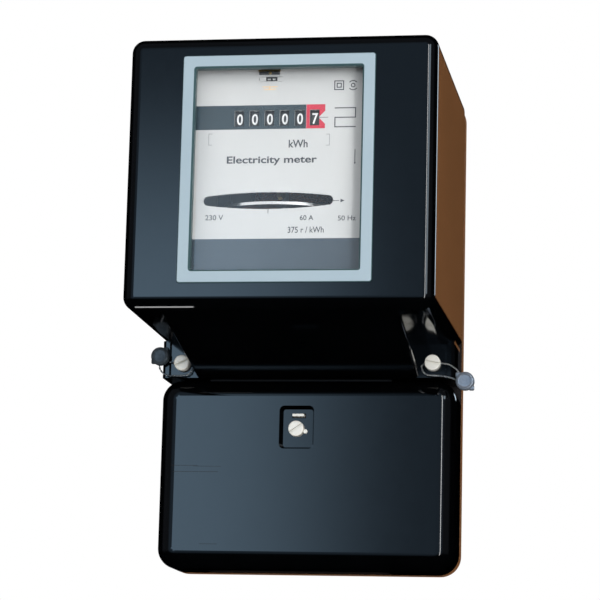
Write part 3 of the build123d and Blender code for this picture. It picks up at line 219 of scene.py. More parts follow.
def addFloor(s):
    bpy.ops.mesh.primitive_plane_add(size=s["floorSize"], location=(0, 0, s["floorLevel"]))
    floor = bpy.context.object
    floor.name = "floor"
    floor.visible_glossy = False
    paint = bpy.data.materials.new("floorPaint")
    paint.use_nodes = True
    paint.node_tree.nodes["Principled BSDF"].inputs["Base Color"].default_value = s["floorColour"]
    paint.node_tree.nodes["Principled BSDF"].inputs["Roughness"].default_value = s["floorRough"]
    floor.data.materials.append(paint)


buildWorld(studio)
for lampName, lampSettings in lamps.items():
    addLamp(lampName, lampSettings)
addFloor(studio)
print("light and floor ready")


# Shared shader effects, as node groups


def newGroup(name, inputs, outputs):
    group = bpy.data.node_groups.new(name, "ShaderNodeTree")
    for label, kind, value in inputs:
        socket = group.interface.new_socket(label, in_out="INPUT", socket_type=kind)
        socket.default_value = value
    for label, kind in outputs:
        group.interface.new_socket(label, in_out="OUTPUT", socket_type=kind)
    start = addNode(group, "NodeGroupInput", (-900, 0))
    end = addNode(group, "NodeGroupOutput", (600, 0))
    return group, start, end


def makeCloudyTint():
    group, start, end = newGroup(
        "cloudyTint",
        [("Colour", "NodeSocketColor", (0.5, 0.5, 0.5, 1)),
         ("Other colour", "NodeSocketColor", (0.4, 0.4, 0.4, 1)),
         ("Scale", "NodeSocketFloat", 20.0),
         ("Amount", "NodeSocketFloat", 0.5)],
        [("Colour", "NodeSocketColor"), ("Mask", "NodeSocketFloat")])
    link = group.links.new
    place = addNode(group, "ShaderNodeTexCoord", (-900, -300))
    noise = addNode(group, "ShaderNodeTexNoise", (-600, -200))
    noise.inputs["Detail"].default_value = 6
    noise.inputs["Roughness"].default_value = 0.62
    link(place.outputs["Object"], noise.inputs["Vector"])
    link(start.outputs["Scale"], noise.inputs["Scale"])
    spread = addNode(group, "ShaderNodeMapRange", (-350, -200))
    spread.inputs["From Min"].default_value = 0.35
    spread.inputs["From Max"].default_value = 0.68
    link(noise.outputs[0], spread.inputs["Value"])
    amount = addNode(group, "ShaderNodeMath", (-150, -200), operation="MULTIPLY")
    link(spread.outputs[0], amount.inputs[0])
    link(start.outputs["Amount"], amount.inputs[1])
    blend = addNode(group, "ShaderNodeMix", (100, 0), data_type="RGBA")
    link(amount.outputs[0], blend.inputs[0])
    link(start.outputs["Colour"], blend.inputs[6])
    link(start.outputs["Other colour"], blend.inputs[7])
    link(blend.outputs[2], end.inputs["Colour"])
    link(amount.outputs[0], end.inputs["Mask"])
    return group


def makeFineGrain():
    # A fine uneven surface, stretched along the axes as the piece was worked
    group, start, end = newGroup(
        "fineGrain",
        [("Stretch", "NodeSocketVector", (1.0, 1.0, 1.0)),
         ("Scale", "NodeSocketFloat", 600.0),
         ("Smooth", "NodeSocketFloat", 0.2),
         ("Rough", "NodeSocketFloat", 0.3)],
        [("Height", "NodeSocketFloat"), ("Roughness", "NodeSocketFloat")])
    link = group.links.new
    place = addNode(group, "ShaderNodeTexCoord", (-1100, -300))
    stretch = addNode(group, "ShaderNodeVectorMath", (-800, -200), operation="MULTIPLY")
    link(place.outputs["Object"], stretch.inputs[0])
    link(start.outputs["Stretch"], stretch.inputs[1])
    noise = addNode(group, "ShaderNodeTexNoise", (-550, -200))
    noise.inputs["Detail"].default_value = 4
    link(stretch.outputs[0], noise.inputs["Vector"])
    link(start.outputs["Scale"], noise.inputs["Scale"])
    spread = addNode(group, "ShaderNodeMapRange", (-250, 100))
    link(noise.outputs[0], spread.inputs["Value"])
    link(start.outputs["Smooth"], spread.inputs["To Min"])
    link(start.outputs["Rough"], spread.inputs["To Max"])
    link(noise.outputs[0], end.inputs["Height"])
    link(spread.outputs[0], end.inputs["Roughness"])
    return group


def makeSideMask():
    # 1 on the outer side walls, where the brown reflection is painted, 0 elsewhere: how far out the surface
    # lies, and how squarely it faces sideways
    group, start, end = newGroup(
        "reflectionSideMask",
        [("Out from", "NodeSocketFloat", 0.06), ("Above", "NodeSocketFloat", -0.01)],
        [("Mask", "NodeSocketFloat")])
    link = group.links.new
    place = addNode(group, "ShaderNodeTexCoord", (-1100, -300))
    axes = addNode(group, "ShaderNodeSeparateXYZ", (-800, -200))
    link(place.outputs["Object"], axes.inputs[0])
    out = addNode(group, "ShaderNodeMath", (-600, -200), operation="ABSOLUTE")
    link(axes.outputs["X"], out.inputs[0])
    far = addNode(group, "ShaderNodeMath", (-400, -200), operation="GREATER_THAN")
    link(out.outputs[0], far.inputs[0])
    link(start.outputs["Out from"], far.inputs[1])
    normalAxes = addNode(group, "ShaderNodeSeparateXYZ", (-800, 200))
    link(place.outputs["Normal"], normalAxes.inputs[0])
    facing = addNode(group, "ShaderNodeMath", (-600, 200), operation="ABSOLUTE")
    link(normalAxes.outputs["X"], facing.inputs[0])
    square = addNode(group, "ShaderNodeMapRange", (-400, 200))
    square.inputs["From Min"].default_value = 0.985
    square.inputs["From Max"].default_value = 0.998
    link(facing.outputs[0], square.inputs["Value"])
    both = addNode(group, "ShaderNodeMath", (0, 0), operation="MULTIPLY")
    link(far.outputs[0], both.inputs[0])
    link(square.outputs[0], both.inputs[1])
    above = addNode(group, "ShaderNodeMath", (0, -300), operation="GREATER_THAN")
    link(axes.outputs["Z"], above.inputs[0])
    link(start.outputs["Above"], above.inputs[1])
    upper = addNode(group, "ShaderNodeMath", (300, 0), operation="MULTIPLY")
    link(both.outputs[0], upper.inputs[0])
    link(above.outputs[0], upper.inputs[1])
    link(upper.outputs[0], end.inputs["Mask"])
    return group


def makeFrontMask():
    # 1 on faces that look to the front, 0 on walls
    group, start, end = newGroup("frontMask", [], [("Mask", "NodeSocketFloat")])
    link = group.links.new
    place = addNode(group, "ShaderNodeTexCoord", (-900, 0))
    axes = addNode(group, "ShaderNodeSeparateXYZ", (-600, 0))
    link(place.outputs["Normal"], axes.inputs[0])
    square = addNode(group, "ShaderNodeMapRange", (-300, 0))
    square.inputs["From Min"].default_value = -0.75
    square.inputs["From Max"].default_value = -0.95
    link(axes.outputs["Y"], square.inputs["Value"])
    link(square.outputs[0], end.inputs["Mask"])
    return group


cloudyTint = makeCloudyTint()
fineGrain = makeFineGrain()
reflectionSideMask = makeSideMask()
frontMask = makeFrontMask()


def useGroup(tree, group, place, **values):
    node = addNode(tree, "ShaderNodeGroup", place)
    node.node_tree = group
    for key, value in values.items():
        node.inputs[key.replace("_", " ")].default_value = value
    return node


plainFinish = {
    "patches": 60.0, "amount": 0.6, "stretch": (1, 1, 1), "grain": 900.0,
    "relief": 0.1, "depth": 0.00005, "metal": 0.0, "ior": 1.45,
}


def makeFinish(name, s):
    # One plain finish: cloudy colour, grain in the roughness and a slight relief
    s = {**plainFinish, **s}
    finish = bpy.data.materials.new(name)
    finish.use_nodes = True
    tree = finish.node_tree
    link = tree.links.new
    shader = tree.nodes["Principled BSDF"]
    tint = useGroup(tree, cloudyTint, (-600, 200), Colour=(*s["colour"], 1), Other_colour=(*s["other"], 1),
                    Scale=s["patches"], Amount=s["amount"])
    grain = useGroup(tree, fineGrain, (-600, -100), Stretch=s["stretch"],
                     Scale=s["grain"], Smooth=s["smooth"], Rough=s["rough"])
    link(tint.outputs["Colour"], shader.inputs["Base Color"])
    link(grain.outputs["Roughness"], shader.inputs["Roughness"])
    relief = addNode(tree, "ShaderNodeBump", (-300, -300))
    relief.inputs["Strength"].default_value = s["relief"]
    relief.inputs["Distance"].default_value = s["depth"]
    link(grain.outputs["Height"], relief.inputs["Height"])
    link(relief.outputs[0], shader.inputs["Normal"])
    shader.inputs["Metallic"].default_value = s["metal"]
    shader.inputs["IOR"].default_value = s["ior"]
    return finish


def makeCaseFinish(name, s):
    # The black moulding, with a painted brown reflection on its outer sides
    finish = makeFinish(name, s)
    tree = finish.node_tree
    link = tree.links.new
    shader = tree.nodes["Principled BSDF"]
    tint = shader.inputs["Base Color"].links[0].from_node
    # painted reflection: the brown that the glossy black sides mirror, laid into their colour
    side = useGroup(tree, reflectionSideMask, (-600, 600), Out_from=s["reflectionFrom"], Above=s["reflectionAbove"])
    brownReflection = useGroup(tree, cloudyTint, (-600, 400), Colour=(*s["reflectionColour"], 1),
                    Other_colour=(*s["reflectionOther"], 1), Scale=s["reflectionPatches"], Amount=s["reflectionAmount"])
    blend = addNode(tree, "ShaderNodeMix", (-250, 400), data_type="RGBA")
    link(side.outputs["Mask"], blend.inputs[0])
    link(tint.outputs["Colour"], blend.inputs[6])
    link(brownReflection.outputs["Colour"], blend.inputs[7])
    link(blend.outputs[2], shader.inputs["Base Color"])
    return finish


def makeTwoToneFinish(name, s):
    # One tone on the front and another on the walls: the one that the settings name is painted shade, the
    # other is the plain colour
    finish = makeFinish(name, s)
    tree = finish.node_tree
    link = tree.links.new
    shader = tree.nodes["Principled BSDF"]
    tint = shader.inputs["Base Color"].links[0].from_node
    front = useGroup(tree, frontMask, (-600, 600))
    blend = addNode(tree, "ShaderNodeMix", (-250, 400), data_type="RGBA")
    onWalls, onFront = blend.inputs[6], blend.inputs[7]
    link(front.outputs["Mask"], blend.inputs[0])
    if "shadedWallColour" in s:
        onWalls.default_value = (*s["shadedWallColour"], 1)
        link(tint.outputs["Colour"], onFront)
    else:
        onFront.default_value = (*s["shadedFrontColour"], 1)
        link(tint.outputs["Colour"], onWalls)
    link(blend.outputs[2], shader.inputs["Base Color"])
    return finish


def makePaneFinish(name, s):
    finish = bpy.data.materials.new(name)
    finish.use_nodes = True
    tree = finish.node_tree
    link = tree.links.new
    shader = tree.nodes["Principled BSDF"]
    shader.inputs["Transmission Weight"].default_value = 1
    shader.inputs["IOR"].default_value = s["ior"]
    shader.inputs["Metallic"].default_value = 0
    smear = useGroup(tree, cloudyTint, (-600, 200), Colour=(*s["colour"], 1), Other_colour=(*s["other"], 1),
                     Scale=s["patches"], Amount=s["amount"])
    link(smear.outputs["Colour"], shader.inputs["Base Color"])
    grain = useGroup(tree, fineGrain, (-600, -100), Scale=s["grain"], Smooth=s["smooth"], Rough=s["rough"])
    link(grain.outputs["Roughness"], shader.inputs["Roughness"])
    path = addNode(tree, "ShaderNodeLightPath", (0, 500))
    clear = addNode(tree, "ShaderNodeBsdfTransparent", (0, -200))
    through = addNode(tree, "ShaderNodeMixShader", (350, 200))
    out = tree.nodes["Material Output"]
    out.location = (600, 200)
    link(path.outputs["Is Shadow Ray"], through.inputs[0])
    link(shader.outputs[0], through.inputs[1])
    link(clear.outputs[0], through.inputs[2])
    link(through.outputs[0], out.inputs["Surface"])
    return finish


# Finishes

blackMoulding = {
    "colour": (0.0005, 0.0006, 0.0008), "other": (0.0010, 0.0013, 0.0016), "patches": 30.0,
    "smooth": 0.05, "rough": 0.09, "grain": 160.0, "relief": 0.02, "ior": 1.48,
    "reflectionFrom": 0.0615, "reflectionAbove": -0.0085,  # the painted brown reflection starts here, in metres out and up
    # painted reflection: the brown mirrored in the glossy sides, as a colour
    "reflectionColour": (0.41, 0.180, 0.072), "reflectionOther": (0.35, 0.154, 0.061),
    "reflectionPatches": 25.0, "reflectionAmount": 0.8,
}
# The base plate's front faces are painted near black: painted shade in the gap behind the covers
brownMoulding = {
    "colour": (0.41, 0.180, 0.072), "other": (0.35, 0.154, 0.061), "patches": 25.0,
    "smooth": 0.16, "rough": 0.3, "grain": 300.0, "relief": 0.05, "shadedFrontColour": (0.012, 0.008, 0.006),
}
# The window frame's walls carry painted shade, dark teal, and its front keeps the pale grey
greyFrame = {
    "colour": (0.385, 0.485, 0.545), "other": (0.350, 0.450, 0.515), "patches": 40.0,
    "smooth": 0.3, "rough": 0.42, "relief": 0.06, "shadedWallColour": (0.05, 0.105, 0.115),
}
clearPane = {
    "colour": (1, 1, 1), "other": (0.97, 0.98, 0.98), "patches": 30.0, "amount": 0.5,
    "smooth": 0.0, "rough": 0.01, "grain": 40.0, "ior": 1.45,
}
whiteEnamel = {
    "colour": (0.560, 0.573, 0.574), "other": (0.541, 0.558, 0.561), "patches": 35.0,
    "smooth": 0.35, "rough": 0.5, "relief": 0.03,
}
nickel = {
    "colour": (0.90, 0.88, 0.81), "other": (0.78, 0.76, 0.68), "patches": 300.0,
    "smooth": 0.24, "rough": 0.4, "grain": 2500.0, "relief": 0.15, "metal": 0.1,
}
steel = {
    "colour": (0.55, 0.55, 0.54), "other": (0.42, 0.42, 0.42), "patches": 200.0,
    "smooth": 0.25, "rough": 0.4, "grain": 1800.0, "stretch": (1, 1, 6), "relief": 0.1, "metal": 1.0,
}
polishedSheet = {
    "colour": (0.86, 0.87, 0.88), "other": (0.74, 0.75, 0.77), "patches": 80.0,
    "smooth": 0.12, "rough": 0.25, "grain": 1500.0, "relief": 0.05, "metal": 1.0,
}
castAlloy = {
    "colour": (0.42, 0.42, 0.42), "other": (0.33, 0.33, 0.34), "patches": 120.0,
    "smooth": 0.45, "rough": 0.65, "grain": 1400.0, "relief": 0.4, "metal": 0.8,
}
stackedSheet = {
    "colour": (0.16, 0.16, 0.17), "other": (0.10, 0.10, 0.11), "patches": 90.0,
    "smooth": 0.4, "rough": 0.6, "grain": 60.0, "stretch": (1, 60, 1), "relief": 0.5, "metal": 0.7,
}
darkAlloy = {
    "colour": (0.09, 0.09, 0.095), "other": (0.06, 0.06, 0.065), "patches": 100.0,
    "smooth": 0.45, "rough": 0.6, "relief": 0.3, "metal": 0.6,
}
copperWire = {
    "colour": (0.50, 0.19, 0.09), "other": (0.36, 0.12, 0.05), "patches": 150.0,
    "smooth": 0.2, "rough": 0.35, "grain": 700.0, "stretch": (1, 1, 3), "relief": 0.2, "metal": 0.8,
}
pressedBrass = {
    "colour": (0.72, 0.52, 0.22), "other": (0.58, 0.40, 0.16), "patches": 180.0,
    "smooth": 0.22, "rough": 0.36, "grain": 1200.0, "relief": 0.1, "metal": 1.0,
}
mattBlack = {
    "colour": (0.018, 0.022, 0.027), "other": (0.026, 0.03, 0.035), "patches": 80.0,
    "smooth": 0.45, "rough": 0.6, "relief": 0.15,
}
softRubber = {
    "colour": (0.02, 0.02, 0.02), "other": (0.03, 0.03, 0.03), "patches": 120.0,
    "smooth": 0.6, "rough": 0.8, "relief": 0.2,
}
darkLead = {
    "colour": (0.055, 0.068, 0.08), "other": (0.12, 0.145, 0.165), "patches": 420.0,
    "smooth": 0.3, "rough": 0.5, "grain": 900.0, "relief": 0.6, "depth": 0.0002, "metal": 0.5,
}
paleLead = {
    "colour": (0.24, 0.28, 0.34), "other": (0.40, 0.44, 0.50), "patches": 420.0,
    "smooth": 0.25, "rough": 0.45, "grain": 900.0, "relief": 0.6, "depth": 0.0002, "metal": 0.6,
}
sealingWire = {
    "colour": (0.62, 0.61, 0.60), "other": (0.45, 0.44, 0.43), "patches": 500.0,
    "smooth": 0.2, "rough": 0.35, "grain": 2500.0, "relief": 0.1, "metal": 1.0,
}
darkPrint = {
    "colour": (0.021, 0.043, 0.058), "other": (0.026, 0.049, 0.064), "patches": 60.0,
    "smooth": 0.45, "rough": 0.6, "relief": 0.02,
}
greyPrint = {
    "colour": (0.043, 0.064, 0.086), "other": (0.049, 0.071, 0.094), "patches": 40.0,
    "smooth": 0.45, "rough": 0.6, "relief": 0.02,
}
wordPrint = {
    "colour": (0.03, 0.035, 0.045), "other": (0.045, 0.05, 0.06), "patches": 300.0,
    "smooth": 0.5, "rough": 0.6, "relief": 0.02,
}
softPrint = {
    "colour": (0.26, 0.28, 0.29), "other": (0.34, 0.36, 0.37), "patches": 300.0,
    "smooth": 0.5, "rough": 0.6, "relief": 0.02,
}
scratchedMoulding = {
    "colour": (0.012, 0.010, 0.009), "other": (0.040, 0.034, 0.030), "patches": 700.0,
    "smooth": 0.55, "rough": 0.8, "relief": 0.1,
}
redPrint = {
    "colour": (0.58, 0.030, 0.065), "other": (0.53, 0.033, 0.066), "patches": 120.0,
    "smooth": 0.45, "rough": 0.6, "relief": 0.02,
}
whitePrint = {
    "colour": (0.82, 0.83, 0.84), "other": (0.76, 0.78, 0.79), "patches": 300.0,
    "smooth": 0.45, "rough": 0.6, "relief": 0.02,
}
yellowMark = {
    "colour": (0.75, 0.50, 0.22), "other": (0.80, 0.66, 0.45), "patches": 900.0,
    "smooth": 0.45, "rough": 0.6, "relief": 0.02,
}

finishes = {
    "blackMoulding": makeCaseFinish("blackMoulding", blackMoulding),
    "brownMoulding": makeTwoToneFinish("brownMoulding", brownMoulding),
    "greyFrame": makeTwoToneFinish("greyFrame", greyFrame),
    "clearPane": makePaneFinish("clearPane", clearPane),
}
for finishName, finishSettings in {
    "whiteEnamel": whiteEnamel, "nickel": nickel, "steel": steel,
    "polishedSheet": polishedSheet, "castAlloy": castAlloy, "stackedSheet": stackedSheet,
    "darkAlloy": darkAlloy, "copperWire": copperWire, "pressedBrass": pressedBrass,
    "mattBlack": mattBlack, "softRubber": softRubber, "darkLead": darkLead, "paleLead": paleLead,
    "sealingWire": sealingWire, "darkPrint": darkPrint, "greyPrint": greyPrint, "wordPrint": wordPrint,
    "softPrint": softPrint, "scratchedMoulding": scratchedMoulding,
    "redPrint": redPrint, "whitePrint": whitePrint, "yellowMark": yellowMark,
}.items():
    finishes[finishName] = makeFinish(finishName, finishSettings)

nodeFinishes = {
    "blackMoulding": ["meter_cover", "terminal_cover"],
    "brownMoulding": ["base_plate"],
    "greyFrame": ["window_frame"],
    "clearPane": ["window_pane"],
    "whiteEnamel": ["dial_plate"],
    "nickel": ["cover_screws", "terminal_cover_screw", "terminal_screws", "block_screws", "link_screws",
               "sealing_strip"],
    "steel": ["hanging_lug", "frame_screws", "dial_screws", "rotor_spindle", "worm", "feed_shaft",
              "middle_shaft", "drum_axle", "pinion_axle", "lower_bearing", "upper_bearing",
              "register_frame"],
    "polishedSheet": ["rotor_disc"],
    "castAlloy": ["movement_frame", "magnet_bracket"],
    "stackedSheet": ["voltage_core", "current_core"],
    "darkAlloy": ["brake_magnet"],
    "copperWire": ["voltage_coil", "current_coil", "current_straps"],
    "pressedBrass": ["line_terminals", "neutral_terminal", "voltage_link", "worm_wheel", "middle_wheel",
                     "dial_clip"],
    "mattBlack": ["terminal_block", "voltage_bobbin"] + [f"number_drum_{k}" for k in range(1, 7)] +
                 [f"transfer_pinion_{k}" for k in range(1, 6)],
    "softRubber": ["cover_gasket", "pane_seal"],
    "darkLead": ["lead_seal_left"],
    "paleLead": ["lead_seal_right"],
    "sealingWire": ["seal_wire_left", "seal_wire_right"],
}


def dress(piece, finishName):
    piece.data.materials.clear()
    piece.data.materials.append(finishes[finishName])


for finishName, members in nodeFinishes.items():
    for member in members:
        dress(nodes[member], finishName)
for member in ("terminal_cover_screw", "sealing_strip"):
    nodes[member].visible_glossy = False  # the real ones sit too deep to show in the slope above
print("finishes on every node:", sum(len(m) for m in nodeFinishes.values()))


# Modelling helpers


def deselectAll():
    bpy.ops.object.select_all(action="DESELECT")


def selectOnly(*pieces):
    deselectAll()
    for piece in pieces:
        piece.select_set(True)
    bpy.context.view_layer.objects.active = pieces[0]


def settle(piece):
    selectOnly(piece)
    bpy.ops.object.transform_apply(location=True, rotation=True, scale=True)


def joinAll(name, pieces):
    selectOnly(*pieces)
    if len(pieces) > 1:
        bpy.ops.object.join()
    whole = bpy.context.object
    whole.name = name
    whole.data.name = name
    return whole


def frontPlate(name, left, low, right, high, back, front):
    # A flat plate seen from the front, in millimetres, between two heights off the wall
    deselectAll()
    middle = ((left + right) / 2 * mm, -(back + front) / 2 * mm, (low + high) / 2 * mm)
    size = ((right - left) * mm, (front - back) * mm, (high - low) * mm)
    bpy.ops.mesh.primitive_cube_add(size=1, location=middle)
    plate = bpy.context.object
    plate.name = name
    plate.scale = size
    settle(plate)
    return plate


def cutAway(piece, cutters):
    for cutter in cutters:
        cut = piece.modifiers.new("cut", "BOOLEAN")
        cut.operation = "DIFFERENCE"
        cut.object = cutter
        selectOnly(piece)
        bpy.ops.object.modifier_apply(modifier=cut.name)
        bpy.data.objects.remove(cutter)


def flatWords(name, words, weight=0.0):
    # Lettering as a flat mesh in the XY plane, with its extent from 0,0 to width,height
    deselectAll()
    bpy.ops.object.text_add(location=(0, 0, 0))
    piece = bpy.context.object
    piece.data.body = words
    piece.data.offset = weight
    piece.data.resolution_u = 6
    bpy.ops.object.convert(target="MESH")
    piece = bpy.context.object
    piece.name = name
    low = [min(v.co[a] for v in piece.data.vertices) for a in range(2)]
    piece.location = (-low[0], -low[1], 0)
    settle(piece)
    return piece


def extent(piece, axis):
    values = [v.co[axis] for v in piece.data.vertices]
    return max(values) - min(values)


def printWords(name, words, left, low, right, high, height, weight=0.0):
    # Lettering fitted into a box on the dial
    piece = flatWords(name, words, weight)
    piece.scale = ((right - left) * mm / extent(piece, 0), (high - low) * mm / extent(piece, 1), 1)
    settle(piece)
    piece.rotation_euler = (pi / 2, 0, 0)
    piece.location = (left * mm, -height * mm, low * mm)
    settle(piece)
    return piece


# Dial print

dialFront = -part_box("dial_plate")[0].y / mm
printBase = dialFront - 0.05
printHeight = dialFront + 0.03
cutReach = 3  # how far a cutter goes to either side of the dial's face
dialPrint = {
    "bandTop": 78.9, "bandLow": 68.7, "bandLeft": -51.0, "bandRight": 9.0,
    "maskRight": 16.9, "maskGap": 0.1, "notchHalf": 3.1, "notchOut": 1.6,
    "footTop": 22.5, "footLow": 9.0, "footLeft": -51.0, "footRight": 39.0,
    "windowZ": 73.35, "windowWide": 4.0, "windowHigh": 6.7,
    "firstDrum": -19.0, "drumPitch": 6.3, "drums": 6,
}


def makeBands(s):
    band = frontPlate("registerBand", s["bandLeft"], s["bandLow"], s["bandRight"], s["bandTop"],
                      printBase, printHeight)
    cutters = []
    for k in range(s["drums"] - 1):
        x = s["firstDrum"] + k * s["drumPitch"]
        cutters.append(frontPlate("cutter", x - s["windowWide"] / 2, s["windowZ"] - s["windowHigh"] / 2,
                                  x + s["windowWide"] / 2, s["windowZ"] + s["windowHigh"] / 2,
                                  dialFront - cutReach, dialFront + cutReach))
    cutAway(band, cutters)
    dress(band, "darkPrint")
    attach(band, "case")
    foot = frontPlate("footBand", s["footLeft"], s["footLow"], s["footRight"], s["footTop"],
                      printBase, printHeight)
    dress(foot, "greyPrint")
    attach(foot, "case")


def makeRedMask(s):
    mask = frontPlate("redMask", s["bandRight"] + s["maskGap"], s["bandLow"], s["maskRight"], s["bandTop"],
                      printBase, printHeight)
    x = s["firstDrum"] + (s["drums"] - 1) * s["drumPitch"]
    window = frontPlate("cutter", x - s["windowWide"] / 2, s["windowZ"] - s["windowHigh"] / 2,
                        x + s["windowWide"] / 2, s["windowZ"] + s["windowHigh"] / 2,
                        dialFront - cutReach, dialFront + cutReach)
    half = s["notchHalf"]
    notch = frontPlate("cutter", -half, -half, half, half, dialFront - cutReach, dialFront + cutReach)
    notch.rotation_euler = (0, pi / 4, 0)
    notch.location = ((s["maskRight"] + s["notchOut"]) * mm, 0, s["windowZ"] * mm)
    settle(notch)
    cutAway(mask, [window, notch])
    dress(mask, "redPrint")
    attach(mask, "case")


def printedBars(name, bars, finishName):
    pieces = [frontPlate(name, *bar, printBase, printHeight) for bar in bars]
    whole = joinAll(name, pieces)
    dress(whole, finishName)
    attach(whole, "case")
    return whole


dialLines = {
    "line": 0.42,
    "pointerGap": 0.1, "pointerHalf": 0.1, "pointerEnd": 18.2,
    "strokes": ((-6.0, 33.0, -5.75, 34.8), (20.9, 38.05, 23.5, 38.3), (29.45, 54.2, 29.75, 59.7)),
    "boxLeft": 20.8, "boxRight": 29.7, "boxLevels": (77.0, 73.0, 69.0), "boxTops": (77.4, 73.4),
    "squareAt": (22.45, 86.85), "squareHalves": (2.05, 1.05),
}


def makeMarks(s, dial):
    # The last drum's pointer, the tick and the arrows' stems, two open boxes and the double square
    w = s["line"]
    pointerStart = dial["firstDrum"] + (dial["drums"] - 1) * dial["drumPitch"] + dial["windowWide"] / 2
    left, right = s["boxLeft"], s["boxRight"]
    top, middle, low = s["boxLevels"]
    bars = [(pointerStart + s["pointerGap"], dial["windowZ"] - s["pointerHalf"],
             s["pointerEnd"], dial["windowZ"] + s["pointerHalf"])]
    bars += s["strokes"]
    bars += [(left, top, right, top + w), (right - w, middle, right, s["boxTops"][0]),
             (left, middle, right, middle + w), (left, low, left + w, s["boxTops"][1]),
             (left, low, right, low + w)]
    x, z = s["squareAt"]
    for half in s["squareHalves"]:
        bars += [(x - half, z - half, x + half, z - half + w), (x - half, z + half - w, x + half, z + half),
                 (x - half, z - half, x - half + w, z + half), (x + half - w, z - half, x + half, z + half)]
    printedBars("dialLines", bars, "wordPrint")


arrows = {
    "heads": ((24.6, 38.17, 0.0, 1.15), (29.6, 53.9, pi / 2, 0.62)),  # x, z, turn, size
    "thick": 0.08, "sunk": 0.01, "length": 0.75,
}


def makeArrowHeads(s):
    heads = []
    for x, z, turn, size in s["heads"]:
        deselectAll()
        bpy.ops.mesh.primitive_cylinder_add(vertices=3, radius=size * mm, depth=s["thick"] * mm,
                                            location=(0, 0, 0))
        head = bpy.context.object
        head.rotation_euler = (pi / 2, 0, 0)
        settle(head)
        head.rotation_euler = (0, pi / 2 + turn, 0)
        head.location = (x * mm, -(dialFront - s["sunk"]) * mm, z * mm)
        head.scale = (s["length"], 1, 1)
        settle(head)
        heads.append(head)
    whole = joinAll("arrowHeads", heads)
    dress(whole, "wordPrint")
    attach(whole, "case")


roundSymbol = {
    "x": 28.25, "z": 86.8,
    "rings": ((0.75, False), (1.95, True)),  # radius, and whether it is cut into two arcs
    "line": 0.2, "flat": 0.15, "steps": (48, 6),
    "gapOut": 2.0, "gapHalf": 0.7, "gapLow": 85.6, "gapHigh": 88.0, "gapReach": 2,
}


def makeRings(s):
    # The round symbol: a small ring between two arcs
    pieces = []
    for radius, broken in s["rings"]:
        deselectAll()
        bpy.ops.mesh.primitive_torus_add(
            major_radius=radius * mm, minor_radius=s["line"] * mm, major_segments=s["steps"][0],
            minor_segments=s["steps"][1], location=(0, 0, 0))
        ring = bpy.context.object
        ring.scale = (1, 1, s["flat"])
        settle(ring)
        ring.rotation_euler = (pi / 2, 0, 0)
        ring.location = (s["x"] * mm, -dialFront * mm, s["z"] * mm)
        settle(ring)
        if broken:
            cutters = []
            for side in (-1, 1):
                gap = s["x"] + side * s["gapOut"]
                cutters.append(frontPlate("cutter", gap - s["gapHalf"], s["gapLow"], gap + s["gapHalf"],
                                          s["gapHigh"], dialFront - s["gapReach"], dialFront + s["gapReach"]))
            cutAway(ring, cutters)
        pieces.append(ring)
    whole = joinAll("roundSymbol", pieces)
    dress(whole, "wordPrint")
    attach(whole, "case")


dialDetail = {
    # a dark plate just under the clip, as painted shadow of the clip
    "clipShade": (-11.0, 91.7, -2.4, 93.1), "clipShadeFront": 0.8, "clipShadeEdge": 0.2,
    "pin": (-6.3, 92.3), "pinRadius": 0.6, "pinBack": 0.6, "pinFront": 1.4,
    "slotEnds": ((-11.0, 89.1, -8.3, 90.9), (-3.5, 89.1, -0.9, 90.9),
                 (-7.6, 89.8, -6.4, 90.3), (-5.4, 89.8, -4.3, 90.3)),
    "endsBack": 1.4, "endsFront": 0.3,
    "markDashes": ((-9.6, 86.5, -7.0, 86.9), (-5.9, 86.5, -3.3, 86.9),
                   (-9.0, 85.4, -4.0, 85.8), (-6.9, 85.9, -6.2, 87.1)),
    "tabs": ((-31.6, 62.1, 67.1, 1), (18.9, 61.4, 66.3, -1)), "tabWide": 1.5, "tabLine": 0.25,
}


def roundOff(piece, width, steps=3):
    selectOnly(piece)
    bevel = piece.modifiers.new("bevel", "BEVEL")
    bevel.width = width * mm
    bevel.segments = steps
    bpy.ops.object.modifier_apply(modifier=bevel.name)


def frontDisc(name, x, z, radius, back, front, edge=0.25):
    # A round head that faces the front, in millimetres
    deselectAll()
    bpy.ops.mesh.primitive_cylinder_add(vertices=32, radius=radius * mm, depth=(front - back) * mm,
                                        location=(x * mm, -(back + front) / 2 * mm, z * mm),
                                        rotation=(pi / 2, 0, 0))
    disc = bpy.context.object
    disc.name = name
    settle(disc)
    roundOff(disc, radius * edge)
    return disc


def makeDialDetail(s):
    # A dark plate under the clip, standing in as its painted shadow
    clipShade = frontPlate("clipShadowPlate", *s["clipShade"], dialFront, dialFront + s["clipShadeFront"])
    roundOff(clipShade, s["clipShadeEdge"])
    dress(clipShade, "darkAlloy")
    pin = frontDisc("clipPin", *s["pin"], s["pinRadius"], dialFront + s["pinBack"], dialFront + s["pinFront"])
    dress(pin, "pressedBrass")
    ends = joinAll("slotEnds", [frontPlate("slotEnd", *box, dialFront - s["endsBack"],
                                           dialFront - s["endsFront"]) for box in s["slotEnds"]])
    dress(ends, "whiteEnamel")
    line = s["tabLine"]
    bars = []
    for x, low, high, way in s["tabs"]:
        left, right = sorted((x, x + way * s["tabWide"]))
        bars += [(x - line / 2, low, x + line / 2, high), (left, low, right, low + line),
                 (left, high - line, right, high)]
    printedBars("tabOutlines", bars, "softPrint")
    printedBars("markDashes", s["markDashes"], "yellowMark")
    for piece in (clipShade, pin, ends):
        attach(piece, "case")


